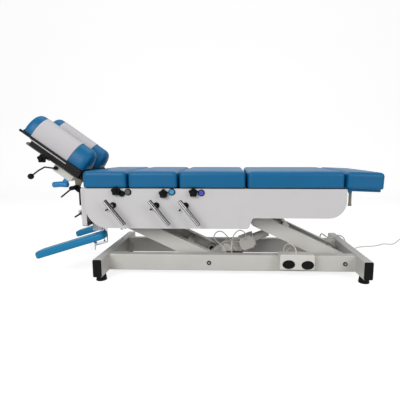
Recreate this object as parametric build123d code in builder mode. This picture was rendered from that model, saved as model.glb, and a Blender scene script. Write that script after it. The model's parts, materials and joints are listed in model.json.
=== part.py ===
from build123d import *
from math import atan2, cos, degrees, hypot, radians, sin, tan
import os

# Millimetres. +X runs to the foot end, -Y is the working side, Z is up and the floor is z = 0.
os.makedirs("parts", exist_ok=True)

# Floor frame
beam_width = 50
beam_height = 100
tube_wall = 3
foot_height = 33
beam_half_length = 318
head_beam_x = -538
foot_beam_x = 921
rail_inner_y = 150
rail_width = 50
rail_height = 95
cap_thickness = 4

# Lifting arms
arm_pivot_z = 80.5
foot_arm_pivot_x = 839
arm_pivot_pitch = 775.3
arm_length = 550
arm_angle = 25.4
arm_depth = 80
arm_inner_y = 93
arm_thickness = 45
arm_wall = 5
pin_radius = 10
running_fit = 0.05
open_pivot_fit = 0.4
side_gap = 0.3

# Lifting actuator
act_pivot_x = 60
act_pivot_z = 74.3
clevis_along_arm = 380
rod_radius = 12.5
act_tube_radius = 25
motor_radius = 28

# Upper frame
top_rail_inner_y = 130
top_rail_width = 40
top_rail_z = 444
top_rail_height = 60
cross_tube = 40
cross_tube_x = (-541, -350, -120, 60, 271, 535, 735)
head_end_x = -609
panel_end_x = 805
panel_face_y = 272
panel_sheet = 3
panel_lip = 14
panel_top_z = 516
panel_low_z = 297
panel_step_z = 357
panel_step_x = 284

# Upholstery
cushion_half_width = 280
cushion_low_z = 520.6
cushion_top_z = 610
cushion_round = 25
section_gap = 10
chest_start_x = -614
section_joint_x = (-372, -96, 271, 795)
foot_end_x = 999
board_half_width = 250
board_thickness = 16
drop_hinge_z = 494
foot_tilt_at_rest = 2

# Controls on the near panel
lever_hub_x = (-452, -215.5, -56.6)
lever_hub_z = 425
lever_radius = 9
lever_length = 165
lever_above_hub = 42
lever_slope = 52
knob_at = ((-429, 504), (-173, 491), (-12.6, 497.5))
knob_radius = 25
button_at = ((-368, 497.5), (-129.6, 498.8), (28.8, 494.4))
button_radius = 14
peg_at = ((-486, 401), (-244, 405), (-87.5, 401))

# Head section
tilt_axis_x = -707
tilt_axis_z = 510
head_tilt = 35.5
post_x = -682
post_y = 150
post_radius = 6
sleeve_radius = 12.5
head_dome_y = 100
head_dome_base = 105
head_dome_spring = 112
head_dome_half = 70
head_dome_rise = 110
head_start_u = 14
head_end_u = 422

# Armrests
pad_slope = 17.2
pad_width = 100
pad_thickness = 40
pad_middle_y = 240
pad_head_x = -907
pad_foot_x = -512
pad_ref_x = -707
pad_ref_z = 197
stub_x = -588
stub_z = 200
stub_radius = 16.5
knuckle_length = 34
column_x = -541
column_y = 172

# Sizes that follow from the ones above
beam_mid_z = foot_height + beam_height / 2
beam_top_z = foot_height + beam_height
rail_outer_y = rail_inner_y + rail_width
rail_top_z = foot_height + rail_height
rail_start_x = head_beam_x + beam_width / 2
rail_end_x = foot_beam_x - beam_width / 2
head_arm_pivot_x = foot_arm_pivot_x - arm_pivot_pitch
arm_outer_y = arm_inner_y + arm_thickness
arm_rise = arm_length * sin(radians(arm_angle))
arm_run = arm_length * cos(radians(arm_angle))
top_pivot_z = arm_pivot_z + arm_rise
foot_top_pivot_x = foot_arm_pivot_x - arm_run
head_top_pivot_x = head_arm_pivot_x - arm_run
top_rail_outer_y = top_rail_inner_y + top_rail_width
board_top_z = cushion_low_z - side_gap
board_low_z = board_top_z - board_thickness
clevis_x = foot_arm_pivot_x - clevis_along_arm * cos(radians(arm_angle))
clevis_z = arm_pivot_z + clevis_along_arm * sin(radians(arm_angle))
act_length = hypot(clevis_x - act_pivot_x, clevis_z - act_pivot_z)
act_angle = degrees(atan2(clevis_z - act_pivot_z, clevis_x - act_pivot_x))


def side(y):
    """Upright plane at depth y: sketch x is X, sketch y is Z, extrusion goes toward -Y."""
    return Plane.XZ.offset(-y)


def side_at(x, y, z, turn=0):
    """Upright plane through a point, turned in its own plane, extruding toward -Y."""
    direction = (cos(radians(turn)), 0, sin(radians(turn)))
    return Plane(origin=(x, y, z), x_dir=direction, z_dir=(0, -1, 0))


def across(x):
    """Upright plane at x: sketch x is Y, sketch y is Z, extrusion goes toward +X."""
    return Plane.YZ.offset(x)


def save(piece, name):
    """Label a finished piece and write it."""
    piece.part.label = name
    export_step(piece.part, "parts/" + name + ".step")


def mirrored(piece):
    """The same piece on the far side of the table."""
    with BuildPart() as twin:
        mirror(piece.part, about=Plane.XZ)
    return twin


# Floor frame: two crossbeams and two rails, all closed steel tube
def crossbeam(x):
    """Rectangular tube across the table, standing on edge."""
    with BuildPart() as beam:
        with BuildSketch(side_at(x, beam_half_length, beam_mid_z)):
            RectangleRounded(beam_width, beam_height, 6)
            RectangleRounded(beam_width - 2 * tube_wall, beam_height - 2 * tube_wall, 3, mode=Mode.SUBTRACT)
        extrude(amount=2 * beam_half_length)
    return beam


head_crossbeam = crossbeam(head_beam_x)
foot_crossbeam = crossbeam(foot_beam_x)
save(head_crossbeam, "head_crossbeam")
save(foot_crossbeam, "foot_crossbeam")

rail_mid_y = (rail_inner_y + rail_outer_y) / 2
rail_mid_z = foot_height + rail_height / 2
lower_pivots = ((head_arm_pivot_x, arm_pivot_z), (foot_arm_pivot_x, arm_pivot_z))
with BuildPart() as near_rail:
    with BuildSketch(across(rail_start_x)):
        with Locations((-rail_mid_y, rail_mid_z)):
            RectangleRounded(rail_width, rail_height, 6)
            RectangleRounded(rail_width - 2 * tube_wall, rail_height - 2 * tube_wall, 3, mode=Mode.SUBTRACT)
    extrude(amount=rail_end_x - rail_start_x)
    with BuildSketch(side(-rail_inner_y + 1)):
        with Locations(*lower_pivots):
            Circle(pin_radius + running_fit)
    extrude(amount=rail_width + 2, mode=Mode.SUBTRACT)
save(near_rail, "near_rail")

gland_x = 819
gland_z = 90
gland_length = 12
with BuildPart() as far_rail:
    mirror(near_rail.part, about=Plane.XZ)
    with BuildSketch(side_at(gland_x, rail_outer_y + 3, gland_z)):
        RegularPolygon(12, 6)
    extrude(amount=3)
    with BuildSketch(side_at(gland_x, rail_outer_y + gland_length, gland_z)):
        Circle(7)
    extrude(amount=gland_length - 3, taper=-8)
save(far_rail, "far_rail")

# Moulded caps in the beam ends and four rubber feet
with BuildPart() as feet_and_caps:
    for x in (head_beam_x, foot_beam_x):
        for end in (-1, 1):
            outer = end * beam_half_length + (cap_thickness if end > 0 else 0)
            with BuildSketch(side_at(x, outer, beam_mid_z)):
                RectangleRounded(beam_width - 3, beam_height - 3, 7)
            extrude(amount=cap_thickness)
            inner = end * beam_half_length + (0 if end > 0 else 14)
            with BuildSketch(side_at(x, inner, beam_mid_z)):
                RectangleRounded(beam_width - 2 * tube_wall - 0.6, beam_height - 2 * tube_wall - 0.6, 3)
            extrude(amount=14)
        with BuildSketch(Plane.XY.offset(foot_height)):
            with Locations((x, -265), (x, 265)):
                Circle(25)
        extrude(amount=-foot_height, taper=-8)
    fillet(feet_and_caps.edges().filter_by(GeomType.CIRCLE).group_by(Axis.Z)[0], 2.5)
save(feet_and_caps, "feet_and_caps")

# Lower pivot pins, held in the rails, each with a spacer outside the arm
with BuildPart() as arm_pivot_pins:
    for x in (head_arm_pivot_x, foot_arm_pivot_x):
        with BuildSketch(side_at(x, -arm_inner_y + 5, arm_pivot_z)):
            Circle(pin_radius)
        extrude(amount=rail_outer_y - arm_inner_y + 5)
        with BuildSketch(side_at(x, -arm_inner_y + 5, arm_pivot_z)):
            Circle(pin_radius + 5)
        extrude(amount=5 - side_gap)
        with BuildSketch(side_at(x, -arm_outer_y - side_gap, arm_pivot_z)):
            Circle(pin_radius + 7)
        extrude(amount=rail_inner_y - arm_outer_y - side_gap)
        with BuildSketch(side_at(x, -rail_outer_y, arm_pivot_z)):
            Circle(pin_radius + 2)
        extrude(amount=5)
    mirror(arm_pivot_pins.part, about=Plane.XZ)
save(arm_pivot_pins, "arm_pivot_pins")

# Cross tube with two ears and the pin that carries the actuator
ear_inner_y = 18
ear_thickness = 8
mount_x = 130
mount_z = 51
with BuildPart() as actuator_mount:
    with BuildSketch(side_at(mount_x, rail_inner_y, mount_z)):
        Rectangle(cross_tube, 30)
        Rectangle(cross_tube - 6, 24, mode=Mode.SUBTRACT)
    extrude(amount=2 * rail_inner_y)
    for y in (-ear_inner_y, ear_inner_y + ear_thickness):
        with BuildSketch(side(y)):
            with Locations((act_pivot_x, act_pivot_z)):
                Circle(14)
            with Locations((mount_x - cross_tube / 2 + 2, mount_z)):
                Rectangle(4, 30)
            make_hull()
        extrude(amount=ear_thickness)
    with BuildSketch(side_at(act_pivot_x, ear_inner_y + ear_thickness + 3, act_pivot_z)):
        Circle(6)
    extrude(amount=2 * (ear_inner_y + ear_thickness + 3))
save(actuator_mount, "actuator_mount")

# Foot switch: moulded housing on the rail with two oval treadles
switch_x = (459, 653)
switch_z = (63, 151)
switch_depth = 62
treadle_at = ((508.5, 95.7), (612.7, 92.2))
treadle_size = (69, 50)
treadle_fit = 0.3
stem_radius = 6
with BuildPart() as foot_switch_housing:
    with BuildSketch(side(-rail_outer_y)):
        with Locations(((switch_x[0] + switch_x[1]) / 2, (switch_z[0] + switch_z[1]) / 2)):
            RectangleRounded(switch_x[1] - switch_x[0], switch_z[1] - switch_z[0], 10)
    extrude(amount=switch_depth)
    fillet(foot_switch_housing.faces().sort_by(Axis.Y)[0].edges(), 7)
    switch_face_y = -rail_outer_y - switch_depth
    for x, z in treadle_at:
        with BuildSketch(side_at(x, switch_face_y + 18, z)):
            Ellipse(treadle_size[0] / 2 + treadle_fit, treadle_size[1] / 2 + treadle_fit)
        extrude(amount=24, mode=Mode.SUBTRACT)
        with BuildSketch(side_at(x, switch_face_y + 40, z)):
            Circle(stem_radius + running_fit)
        extrude(amount=30, mode=Mode.SUBTRACT)
    with BuildSketch(side_at(558.5, switch_face_y + 1, 107)):
        Rectangle(1.2, 100)
    extrude(amount=3, mode=Mode.SUBTRACT)
save(foot_switch_housing, "foot_switch_housing")


def treadle(x, z):
    """Oval treadle with a domed face on a guide stem, sprung out of its recess."""
    with BuildPart() as pad:
        with BuildSketch(side_at(x, switch_face_y + 13, z)):
            Ellipse(treadle_size[0] / 2, treadle_size[1] / 2)
        extrude(amount=8)
        with BuildSketch(side_at(x, switch_face_y + 5, z)):
            Ellipse(treadle_size[0] / 2, treadle_size[1] / 2)
        extrude(amount=11, taper=14)
        fillet(pad.edges().sort_by(Axis.Y)[0], 3)
        with BuildSketch(side_at(x, switch_face_y + 34, z)):
            Circle(stem_radius)
        extrude(amount=24)
    return pad


up_pedal = treadle(*treadle_at[0])
down_pedal = treadle(*treadle_at[1])
save(up_pedal, "up_pedal")
save(down_pedal, "down_pedal")

# Control box behind the near rail, with a lipped lid
box_x = (152, 262)
box_inner_y = 66
with BuildPart() as control_box:
    with BuildSketch(Plane.XY.offset(40)):
        with Locations(((box_x[0] + box_x[1]) / 2, -(rail_inner_y + box_inner_y + 2) / 2)):
            RectangleRounded(box_x[1] - box_x[0] - 4, rail_inner_y - box_inner_y - 2, 5)
    extrude(amount=58)
    with BuildSketch(Plane.XY.offset(98)):
        with Locations(((box_x[0] + box_x[1]) / 2, -(rail_inner_y + box_inner_y) / 2)):
            RectangleRounded(box_x[1] - box_x[0], rail_inner_y - box_inner_y, 6)
    extrude(amount=12)
    chamfer(control_box.faces().sort_by(Axis.Z)[-1].edges(), 2)
save(control_box, "control_box")


# Lifting arms: two channel bars a side, open inward, joined by ties
def arm(lower_x, ties, upper_fit):
    """Pair of channel arms from the lower pivot up toward the head end, with cross ties."""
    middle = (lower_x - arm_run / 2, arm_pivot_z + arm_rise / 2)
    low = (lower_x, arm_pivot_z)
    high = (lower_x - arm_run, arm_pivot_z + arm_rise)
    with BuildPart() as frame:
        for start in (-arm_inner_y, arm_outer_y):
            with BuildSketch(side(start)):
                with Locations(middle):
                    SlotCenterToCenter(arm_length, arm_depth, rotation=-arm_angle)
            extrude(amount=arm_thickness)
        for start in (-arm_inner_y, arm_outer_y - arm_wall):
            with BuildSketch(side(start)):
                with Locations(middle):
                    SlotCenterToCenter(arm_length, arm_depth - 2 * arm_wall, rotation=-arm_angle)
                with Locations(low, high):
                    Circle(24, mode=Mode.SUBTRACT)
            extrude(amount=arm_thickness - arm_wall, mode=Mode.SUBTRACT)
        for along, above, wide, deep in ties:
            x = lower_x - along * cos(radians(arm_angle)) + above * sin(radians(arm_angle))
            z = arm_pivot_z + along * sin(radians(arm_angle)) + above * cos(radians(arm_angle))
            with BuildSketch(side_at(x, arm_outer_y - arm_wall, z, -arm_angle)):
                RectangleRounded(wide, deep, 4)
            extrude(amount=2 * (arm_outer_y - arm_wall))
        for point, fit in ((low, running_fit), (high, upper_fit)):
            with BuildSketch(side(arm_outer_y + 1)):
                with Locations(point):
                    Circle(pin_radius + fit)
            extrude(amount=2 * arm_outer_y + 2, mode=Mode.SUBTRACT)
    return frame


head_arm = arm(head_arm_pivot_x, ((150, 0, 44, 34), (430, 0, 44, 34)), open_pivot_fit)
save(head_arm, "head_arm")

clevis_inner_y = 20
clevis_cheek = 8
foot_ties = ((90, 0, 44, 34), (clevis_along_arm + 8, 48, 38, 16))
foot_arm_frame = arm(foot_arm_pivot_x, foot_ties, running_fit)
with BuildPart() as foot_arm:
    add(foot_arm_frame.part)
    for y in (-clevis_inner_y, clevis_inner_y + clevis_cheek):
        with BuildSketch(side_at(clevis_x, y, clevis_z, -arm_angle)):
            Circle(19)
            with Locations((-8, 46)):
                Rectangle(34, 6)
            make_hull()
            Circle(6.5, mode=Mode.SUBTRACT)
        extrude(amount=clevis_cheek)
    for y in (-clevis_inner_y, clevis_inner_y + clevis_cheek + 4):
        with BuildSketch(side_at(clevis_x, y, clevis_z)):
            Circle(6.5)
        extrude(amount=clevis_cheek + 4)
save(foot_arm, "foot_arm")

# Actuator: rear eye, gearbox with flange, motor across it, outer tube
act = side_at(act_pivot_x, 0, act_pivot_z, act_angle)
gearbox_s = (196, 289)
gearbox_t = (-50, 33)
motor_s = 115.7
motor_t = 10.5
act_tube_end = 388
with BuildPart() as actuator_housing:
    with BuildSketch(act.offset(-17.5)):
        Circle(15)
        with Locations((motor_s, motor_t)):
            Circle(31)
        make_hull()
    extrude(amount=35)
    with BuildSketch(act.offset(-17.5)):
        with Locations((motor_s, motor_t)):
            Circle(31)
        with Locations((gearbox_s[0] + 2, -8)):
            Rectangle(8, 70)
        make_hull()
    extrude(amount=35)
    with BuildSketch(act.offset(-41)):
        with Locations(((gearbox_s[0] + gearbox_s[1]) / 2, (gearbox_t[0] + gearbox_t[1]) / 2)):
            RectangleRounded(gearbox_s[1] - gearbox_s[0], gearbox_t[1] - gearbox_t[0], 12)
    extrude(amount=82)
    fillet(actuator_housing.faces().sort_by(Axis.Y)[0].edges(), 4)
    with BuildSketch(act.offset(-40)):
        with Locations((motor_s, motor_t)):
            Circle(motor_radius)
    extrude(amount=100)
    with BuildSketch(act.offset(54)):
        with Locations((motor_s, motor_t)):
            Circle(motor_radius + 1.5)
    extrude(amount=6)
    tube_plane = Plane(
        origin=act.from_local_coords((gearbox_s[1], 0, 0)),
        x_dir=(0, -1, 0),
        z_dir=(cos(radians(act_angle)), 0, sin(radians(act_angle))),
    )
    with BuildSketch(tube_plane.offset(-6)):
        RectangleRounded(72, 72, 14)
    extrude(amount=12)
    with BuildSketch(tube_plane):
        Circle(act_tube_radius)
    extrude(amount=act_tube_end - gearbox_s[1])
    with BuildSketch(tube_plane.offset(act_tube_end - gearbox_s[1])):
        Circle(rod_radius + running_fit)
    extrude(amount=-(act_tube_end - 245), mode=Mode.SUBTRACT)
    with BuildSketch(act.offset(-20)):
        Circle(6 + running_fit)
    extrude(amount=40, mode=Mode.SUBTRACT)
save(actuator_housing, "actuator_housing")

rod_start_s = 285
with BuildPart() as actuator_rod:
    with BuildSketch(tube_plane.offset(rod_start_s - gearbox_s[1])):
        Circle(rod_radius)
    extrude(amount=act_length - rod_start_s - 10)
    with BuildSketch(act.offset(-12)):
        with Locations((act_length, 0)):
            Circle(15)
    extrude(amount=24)
    with BuildSketch(act.offset(-13)):
        with Locations((act_length, 0)):
            Circle(6.5)
    extrude(amount=26, mode=Mode.SUBTRACT)
save(actuator_rod, "actuator_rod")

# Upper frame: long rails with hanging pivot brackets and bosses for the drop hinges
drop_hinge_x = tuple(joint - section_gap / 2 - 5 for joint in section_joint_x[:3])
foot_hinge_x = 803
foot_hinge_z = 490
hinge_ear_y = (100, 106)
hinge_pin_radius = 5
bracket_y = (144, 150)
with BuildPart() as near_top_rail:
    with BuildSketch(across(head_end_x)):
        with Locations((-(top_rail_inner_y + top_rail_outer_y) / 2, top_rail_z + top_rail_height / 2)):
            RectangleRounded(top_rail_width, top_rail_height, 5)
            RectangleRounded(top_rail_width - 2 * tube_wall, top_rail_height - 2 * tube_wall, 2, mode=Mode.SUBTRACT)
    extrude(amount=section_joint_x[3] - 5 - head_end_x)
    for x in (head_top_pivot_x, foot_top_pivot_x):
        with BuildSketch(side(-bracket_y[0])):
            with Locations((x, top_pivot_z)):
                Circle(26)
            with Locations((x, top_rail_z - 1)):
                Rectangle(96, 6)
            make_hull()
        extrude(amount=bracket_y[1] - bracket_y[0])
        with BuildSketch(side_at(x, -arm_inner_y + 5, top_pivot_z)):
            Circle(pin_radius)
        extrude(amount=bracket_y[1] + 5 - arm_inner_y + 5)
        with BuildSketch(side_at(x, -arm_inner_y + 5, top_pivot_z)):
            Circle(pin_radius + 5)
        extrude(amount=5 - side_gap)
        with BuildSketch(side_at(x, -arm_outer_y - side_gap, top_pivot_z)):
            Circle(pin_radius + 7)
        extrude(amount=bracket_y[0] - arm_outer_y - side_gap)
        with BuildSketch(side_at(x, -bracket_y[1], top_pivot_z)):
            Circle(pin_radius + 3)
        extrude(amount=6)
    for x in drop_hinge_x:
        with BuildSketch(side_at(x, -hinge_ear_y[1] - side_gap, drop_hinge_z)):
            Circle(9)
        extrude(amount=top_rail_inner_y + 1 - hinge_ear_y[1] - side_gap)
        with BuildSketch(side_at(x, -hinge_ear_y[0] + 3, drop_hinge_z)):
            Circle(hinge_pin_radius)
        extrude(amount=top_rail_inner_y + 1 - hinge_ear_y[0] + 3)
    with BuildSketch(side(-hinge_ear_y[1] - side_gap)):
        with Locations((foot_hinge_x, foot_hinge_z)):
            Circle(9)
        with Locations((770, foot_hinge_z)):
            Rectangle(20, 14)
        make_hull()
    extrude(amount=top_rail_inner_y + 1 - hinge_ear_y[1] - side_gap)
    with BuildSketch(side_at(foot_hinge_x, -hinge_ear_y[0] + 3, foot_hinge_z)):
        Circle(hinge_pin_radius)
    extrude(amount=12)
save(near_top_rail, "near_top_rail")
far_top_rail = mirrored(near_top_rail)
save(far_top_rail, "far_top_rail")

# Square cross tubes under the long rails
tube_half_length = panel_face_y - panel_sheet
cross_z = top_rail_z - cross_tube / 2
with BuildPart() as frame_cross_tubes:
    with BuildSketch(side(tube_half_length)):
        with Locations(*[(x, cross_z) for x in cross_tube_x]):
            RectangleRounded(cross_tube, cross_tube, 4)
            RectangleRounded(cross_tube - 6, cross_tube - 6, 2, mode=Mode.SUBTRACT)
    extrude(amount=2 * tube_half_length)
save(frame_cross_tubes, "frame_cross_tubes")

# Side panels: folded sheet trays with a stepped lower edge
panel_points = [
    (head_end_x, panel_top_z),
    (head_end_x, panel_low_z),
    (panel_step_x, panel_low_z),
    (panel_step_x + 22, panel_step_z),
    (panel_end_x, panel_step_z),
    (panel_end_x, panel_top_z),
]
panel_radii = [6, 125, 16, 14, 90, 6]
bush_radius = 13
with BuildPart() as panel_tray:
    with BuildSketch(side(-panel_face_y + panel_lip)):
        with BuildLine():
            FilletPolyline(panel_points, radius=panel_radii, close=True)
        make_face()
    extrude(amount=panel_lip)
    with BuildSketch(side(-panel_face_y + panel_lip)):
        with BuildLine():
            FilletPolyline(panel_points, radius=panel_radii, close=True)
        make_face()
        offset(amount=-panel_sheet, mode=Mode.REPLACE)
    extrude(amount=panel_lip - panel_sheet, mode=Mode.SUBTRACT)
    with BuildSketch(side(-panel_face_y + 1)):
        with Locations((236.6, (panel_low_z + panel_top_z) / 2)):
            Rectangle(1.4, panel_top_z - panel_low_z + 10)
    extrude(amount=3, mode=Mode.SUBTRACT)
with BuildPart() as near_side_panel:
    add(panel_tray.part)
    with BuildSketch(side(-panel_face_y + panel_sheet)):
        with Locations(*[(x, lever_hub_z) for x in lever_hub_x]):
            Circle(bush_radius)
        with Locations(*knob_at):
            Circle(4.08)
        with Locations(*button_at):
            Circle(button_radius + 2)
        with Locations((70.6, 494.5)):
            Circle(10)
        with Locations((535.4, 496)):
            Circle(8)
    extrude(amount=10, mode=Mode.SUBTRACT)
save(near_side_panel, "near_side_panel")
far_side_panel = mirrored(panel_tray)
save(far_side_panel, "far_side_panel")

# Moulded bushes, bezels, pegs and plugs on the near panel
with BuildPart() as panel_bushes:
    with BuildSketch(side(-panel_face_y)):
        with Locations(*[(x, lever_hub_z) for x in lever_hub_x]):
            Circle(17)
    extrude(amount=5)
    with BuildSketch(side(-panel_face_y + 8)):
        with Locations(*[(x, lever_hub_z) for x in lever_hub_x]):
            Circle(bush_radius - 0.05)
    extrude(amount=9)
    with BuildSketch(side(-panel_face_y + 10)):
        with Locations(*[(x, lever_hub_z) for x in lever_hub_x]):
            Circle(lever_radius + running_fit)
    extrude(amount=20, mode=Mode.SUBTRACT)
    with BuildSketch(side(-panel_face_y)):
        with Locations(*button_at):
            Circle(button_radius + 4.5)
    extrude(amount=4)
    with BuildSketch(side(-panel_face_y + panel_sheet)):
        with Locations(*button_at):
            Circle(button_radius + 1.95)
    extrude(amount=4)
    with BuildSketch(side(-panel_face_y + 8)):
        with Locations(*button_at):
            Circle(button_radius + 0.25)
    extrude(amount=20, mode=Mode.SUBTRACT)
    with BuildSketch(side(-panel_face_y)):
        with Locations(*peg_at):
            Circle(4.5)
    extrude(amount=20)
    with BuildSketch(side(-panel_face_y)):
        with Locations((-401, 489)):
            Circle(16.5)
    extrude(amount=8, taper=4)
    with BuildSketch(side(-panel_face_y)):
        with Locations((70.6, 494.5)):
            Circle(13)
        with Locations((535.4, 496)):
            Circle(10)
    extrude(amount=3)
    with BuildSketch(side(-panel_face_y + 6)):
        with Locations((70.6, 494.5)):
            Circle(9.9)
        with Locations((535.4, 496)):
            Circle(7.9)
    extrude(amount=7)
save(panel_bushes, "panel_bushes")

# Head end: folded plate, clamp blocks for the posts and the tube that carries the armrests
plate_x = (head_end_x - 27, head_end_x)
plate_half_width = 255
plate_z = (300, panel_top_z)
block_z = (350, 375)
arm_tube_z = (262, 302)
arm_tube_x = (-609, -554)
post_hub = (-665.6, 364.7)
with BuildPart() as head_end_plate:
    with BuildSketch(across(plate_x[0])):
        with Locations((0, (plate_z[0] + plate_z[1]) / 2)):
            RectangleRounded(2 * plate_half_width, plate_z[1] - plate_z[0], 14)
    extrude(amount=plate_x[1] - plate_x[0])
    with BuildSketch(across(plate_x[0] + 3)):
        with Locations((0, (plate_z[0] + plate_z[1]) / 2)):
            RectangleRounded(2 * plate_half_width - 6, plate_z[1] - plate_z[0] - 6, 11)
    extrude(amount=plate_x[1] - plate_x[0], mode=Mode.SUBTRACT)
    with BuildSketch(across(plate_x[0] + 2.9)):
        for y in (-post_y, post_y):
            with Locations((y, 474)):
                Rectangle(top_rail_width, 60)
    extrude(amount=plate_x[1] - plate_x[0] - 2.9)
    for y in (-post_y, post_y):
        with BuildSketch(Plane.XY.offset(block_z[0])):
            with Locations((post_x + 15, y)):
                RectangleRounded(62, 34, 6)
            with Locations((post_x, y)):
                Circle(post_radius, mode=Mode.SUBTRACT)
        extrude(amount=block_z[1] - block_z[0])
    with BuildSketch(side_at(post_hub[0], -166, post_hub[1])):
        Circle(5)
    extrude(amount=17)
    with BuildSketch(side_at((arm_tube_x[0] + arm_tube_x[1]) / 2, 185, (arm_tube_z[0] + arm_tube_z[1]) / 2)):
        RectangleRounded(arm_tube_x[1] - arm_tube_x[0], arm_tube_z[1] - arm_tube_z[0], 5)
    extrude(amount=370)
    with BuildSketch(Plane.XY.offset(arm_tube_z[1] - 6)):
        with Locations((-558, -95), (-558, 95)):
            Rectangle(6, 70)
    extrude(amount=top_rail_z - cross_tube - arm_tube_z[1] + 6)
save(head_end_plate, "head_end_plate")

# Bright posts: two slim ones for the head section, two cranked ones for the armrests
with BuildPart() as chrome_posts:
    for y in (-post_y, post_y):
        with BuildSketch(Plane.XY.offset(322)):
            with Locations((post_x, y)):
                Circle(post_radius)
        extrude(amount=146)
        with BuildSketch(Plane.XY.offset(322)):
            with Locations((post_x, y)):
                Circle(post_radius + 3)
        extrude(amount=23)
    for end in (-1, 1):
        with BuildSketch(Plane.XY.offset(188)):
            with Locations((column_x, end * column_y)):
                Circle(12.5)
        extrude(amount=top_rail_z - cross_tube - 188)
        with BuildSketch(Plane.XY.offset(188)):
            with Locations((column_x, end * column_y)):
                Circle(12.5)
            with Locations((stub_x, end * pad_middle_y)):
                Circle(stub_radius - 1)
            make_hull()
        extrude(amount=12)
        with BuildSketch(Plane.XY.offset(166)):
            with Locations((stub_x, end * pad_middle_y)):
                Circle(stub_radius - 1)
        extrude(amount=stub_z - 166)
        with BuildSketch(side_at(stub_x, end * pad_middle_y + knuckle_length / 2, stub_z)):
            Circle(stub_radius)
        extrude(amount=knuckle_length)
save(chrome_posts, "chrome_posts")


# Armrest pads: padded boards with rounded tips, pivoting on the knuckle of each stub
def arm_pad(sign):
    """Sloping pad centred over the stub, with a round groove for the knuckle in its underside."""
    slope = radians(pad_slope)
    length = (pad_foot_x - pad_head_x) / cos(slope)
    middle_x = (pad_foot_x + pad_head_x) / 2
    middle_z = pad_ref_z + (middle_x - pad_ref_x) * tan(slope)
    deck = Plane(
        origin=(middle_x, sign * pad_middle_y, middle_z),
        x_dir=(cos(slope), 0, sin(slope)),
        z_dir=(-sin(slope), 0, cos(slope)),
    )
    with BuildPart() as pad:
        with BuildSketch(deck.offset(-pad_thickness / 2)):
            RectangleRounded(length, pad_width, 34)
        extrude(amount=pad_thickness)
        fillet(pad.faces().filter_by(deck).edges(), 13)
        with BuildSketch(side_at(stub_x, sign * pad_middle_y + knuckle_length / 2 + 0.4, stub_z)):
            Circle(stub_radius + side_gap + 0.1)
        extrude(amount=knuckle_length + 0.8, mode=Mode.SUBTRACT)
    return pad


near_arm_pad = arm_pad(-1)
far_arm_pad = arm_pad(1)
save(near_arm_pad, "near_arm_pad")
save(far_arm_pad, "far_arm_pad")


# Drop sections: board with hinge ears and stiffening bars under a cushion
def section_board(start_x, end_x, hinge_x):
    """Board over the long rails with two hinge ears reaching down between them."""
    with BuildPart() as board:
        with BuildSketch(Plane.XY.offset(board_low_z)):
            with Locations(((start_x + end_x) / 2, 0)):
                RectangleRounded(end_x - start_x, 2 * board_half_width, 12)
        extrude(amount=board_thickness)
        for y in (-hinge_ear_y[0], hinge_ear_y[1]):
            with BuildSketch(side(y)):
                with Locations((hinge_x, drop_hinge_z)):
                    Circle(9)
                with Locations((hinge_x - 10, board_low_z)):
                    Rectangle(40 if start_x + 60 < hinge_x else 20, 1)
                make_hull()
                with Locations((hinge_x, drop_hinge_z)):
                    Circle(hinge_pin_radius + running_fit, mode=Mode.SUBTRACT)
            extrude(amount=hinge_ear_y[1] - hinge_ear_y[0])
    return board


def cushion(start_x, end_x):
    """Upholstered block, well rounded above and softer below."""
    with BuildPart() as pad:
        with BuildSketch(Plane.XY.offset(cushion_low_z)):
            with Locations(((start_x + end_x) / 2, 0)):
                RectangleRounded(end_x - start_x, 2 * cushion_half_width, 20)
        extrude(amount=cushion_top_z - cushion_low_z)
        fillet(pad.faces().sort_by(Axis.Z)[-1].edges(), 19.5)
        fillet(pad.faces().sort_by(Axis.Z)[0].edges(), 12)
    return pad


half_gap = section_gap / 2
chest_x = (chest_start_x, section_joint_x[0] - half_gap)
lumbar_x = (section_joint_x[0] + half_gap, section_joint_x[1] - half_gap)
pelvic_x = (section_joint_x[1] + half_gap, section_joint_x[2] - half_gap)
leg_x = (section_joint_x[2] + half_gap, section_joint_x[3] - half_gap)
foot_x = (section_joint_x[3] + half_gap, foot_end_x)
board_inset = 3
chest_drop_plate = section_board(chest_x[0] + 8, chest_x[1] - board_inset + 3, drop_hinge_x[0])
lumbar_drop_plate = section_board(lumbar_x[0] + board_inset, lumbar_x[1], drop_hinge_x[1])
pelvic_drop_plate = section_board(pelvic_x[0] + board_inset, pelvic_x[1], drop_hinge_x[2])
save(chest_drop_plate, "chest_drop_plate")
save(lumbar_drop_plate, "lumbar_drop_plate")
save(pelvic_drop_plate, "pelvic_drop_plate")
save(cushion(*chest_x), "chest_cushion")
save(cushion(*lumbar_x), "lumbar_cushion")
save(cushion(*pelvic_x), "pelvic_cushion")

# Fixed leg section
with BuildPart() as leg_plate:
    with BuildSketch(Plane.XY.offset(top_rail_z + top_rail_height)):
        with Locations(((leg_x[0] + leg_x[1]) / 2, 0)):
            RectangleRounded(leg_x[1] - leg_x[0] - 2 * board_inset, 2 * board_half_width, 12)
    extrude(amount=board_top_z - top_rail_z - top_rail_height)
save(leg_plate, "leg_plate")
save(cushion(*leg_x), "leg_cushion")

# Foot section: board and cushion on a hinge beyond the long rails, resting slightly down
tilt = radians(foot_tilt_at_rest)
foot_deck = Plane(
    origin=(foot_x[0], 0, cushion_low_z),
    x_dir=(cos(tilt), 0, -sin(tilt)),
    z_dir=(sin(tilt), 0, cos(tilt)),
)
foot_length = (foot_x[1] - foot_x[0]) / cos(tilt) - 3
with BuildPart() as foot_cushion:
    with BuildSketch(foot_deck):
        with Locations((foot_length / 2, 0)):
            RectangleRounded(foot_length, 2 * cushion_half_width, 20)
    extrude(amount=cushion_top_z - cushion_low_z)
    fillet(foot_cushion.faces().sort_by(Axis.Z)[-1].edges(), 19.5)
    fillet(foot_cushion.faces().sort_by(Axis.Z)[0].edges(), 12)
save(foot_cushion, "foot_cushion")

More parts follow.
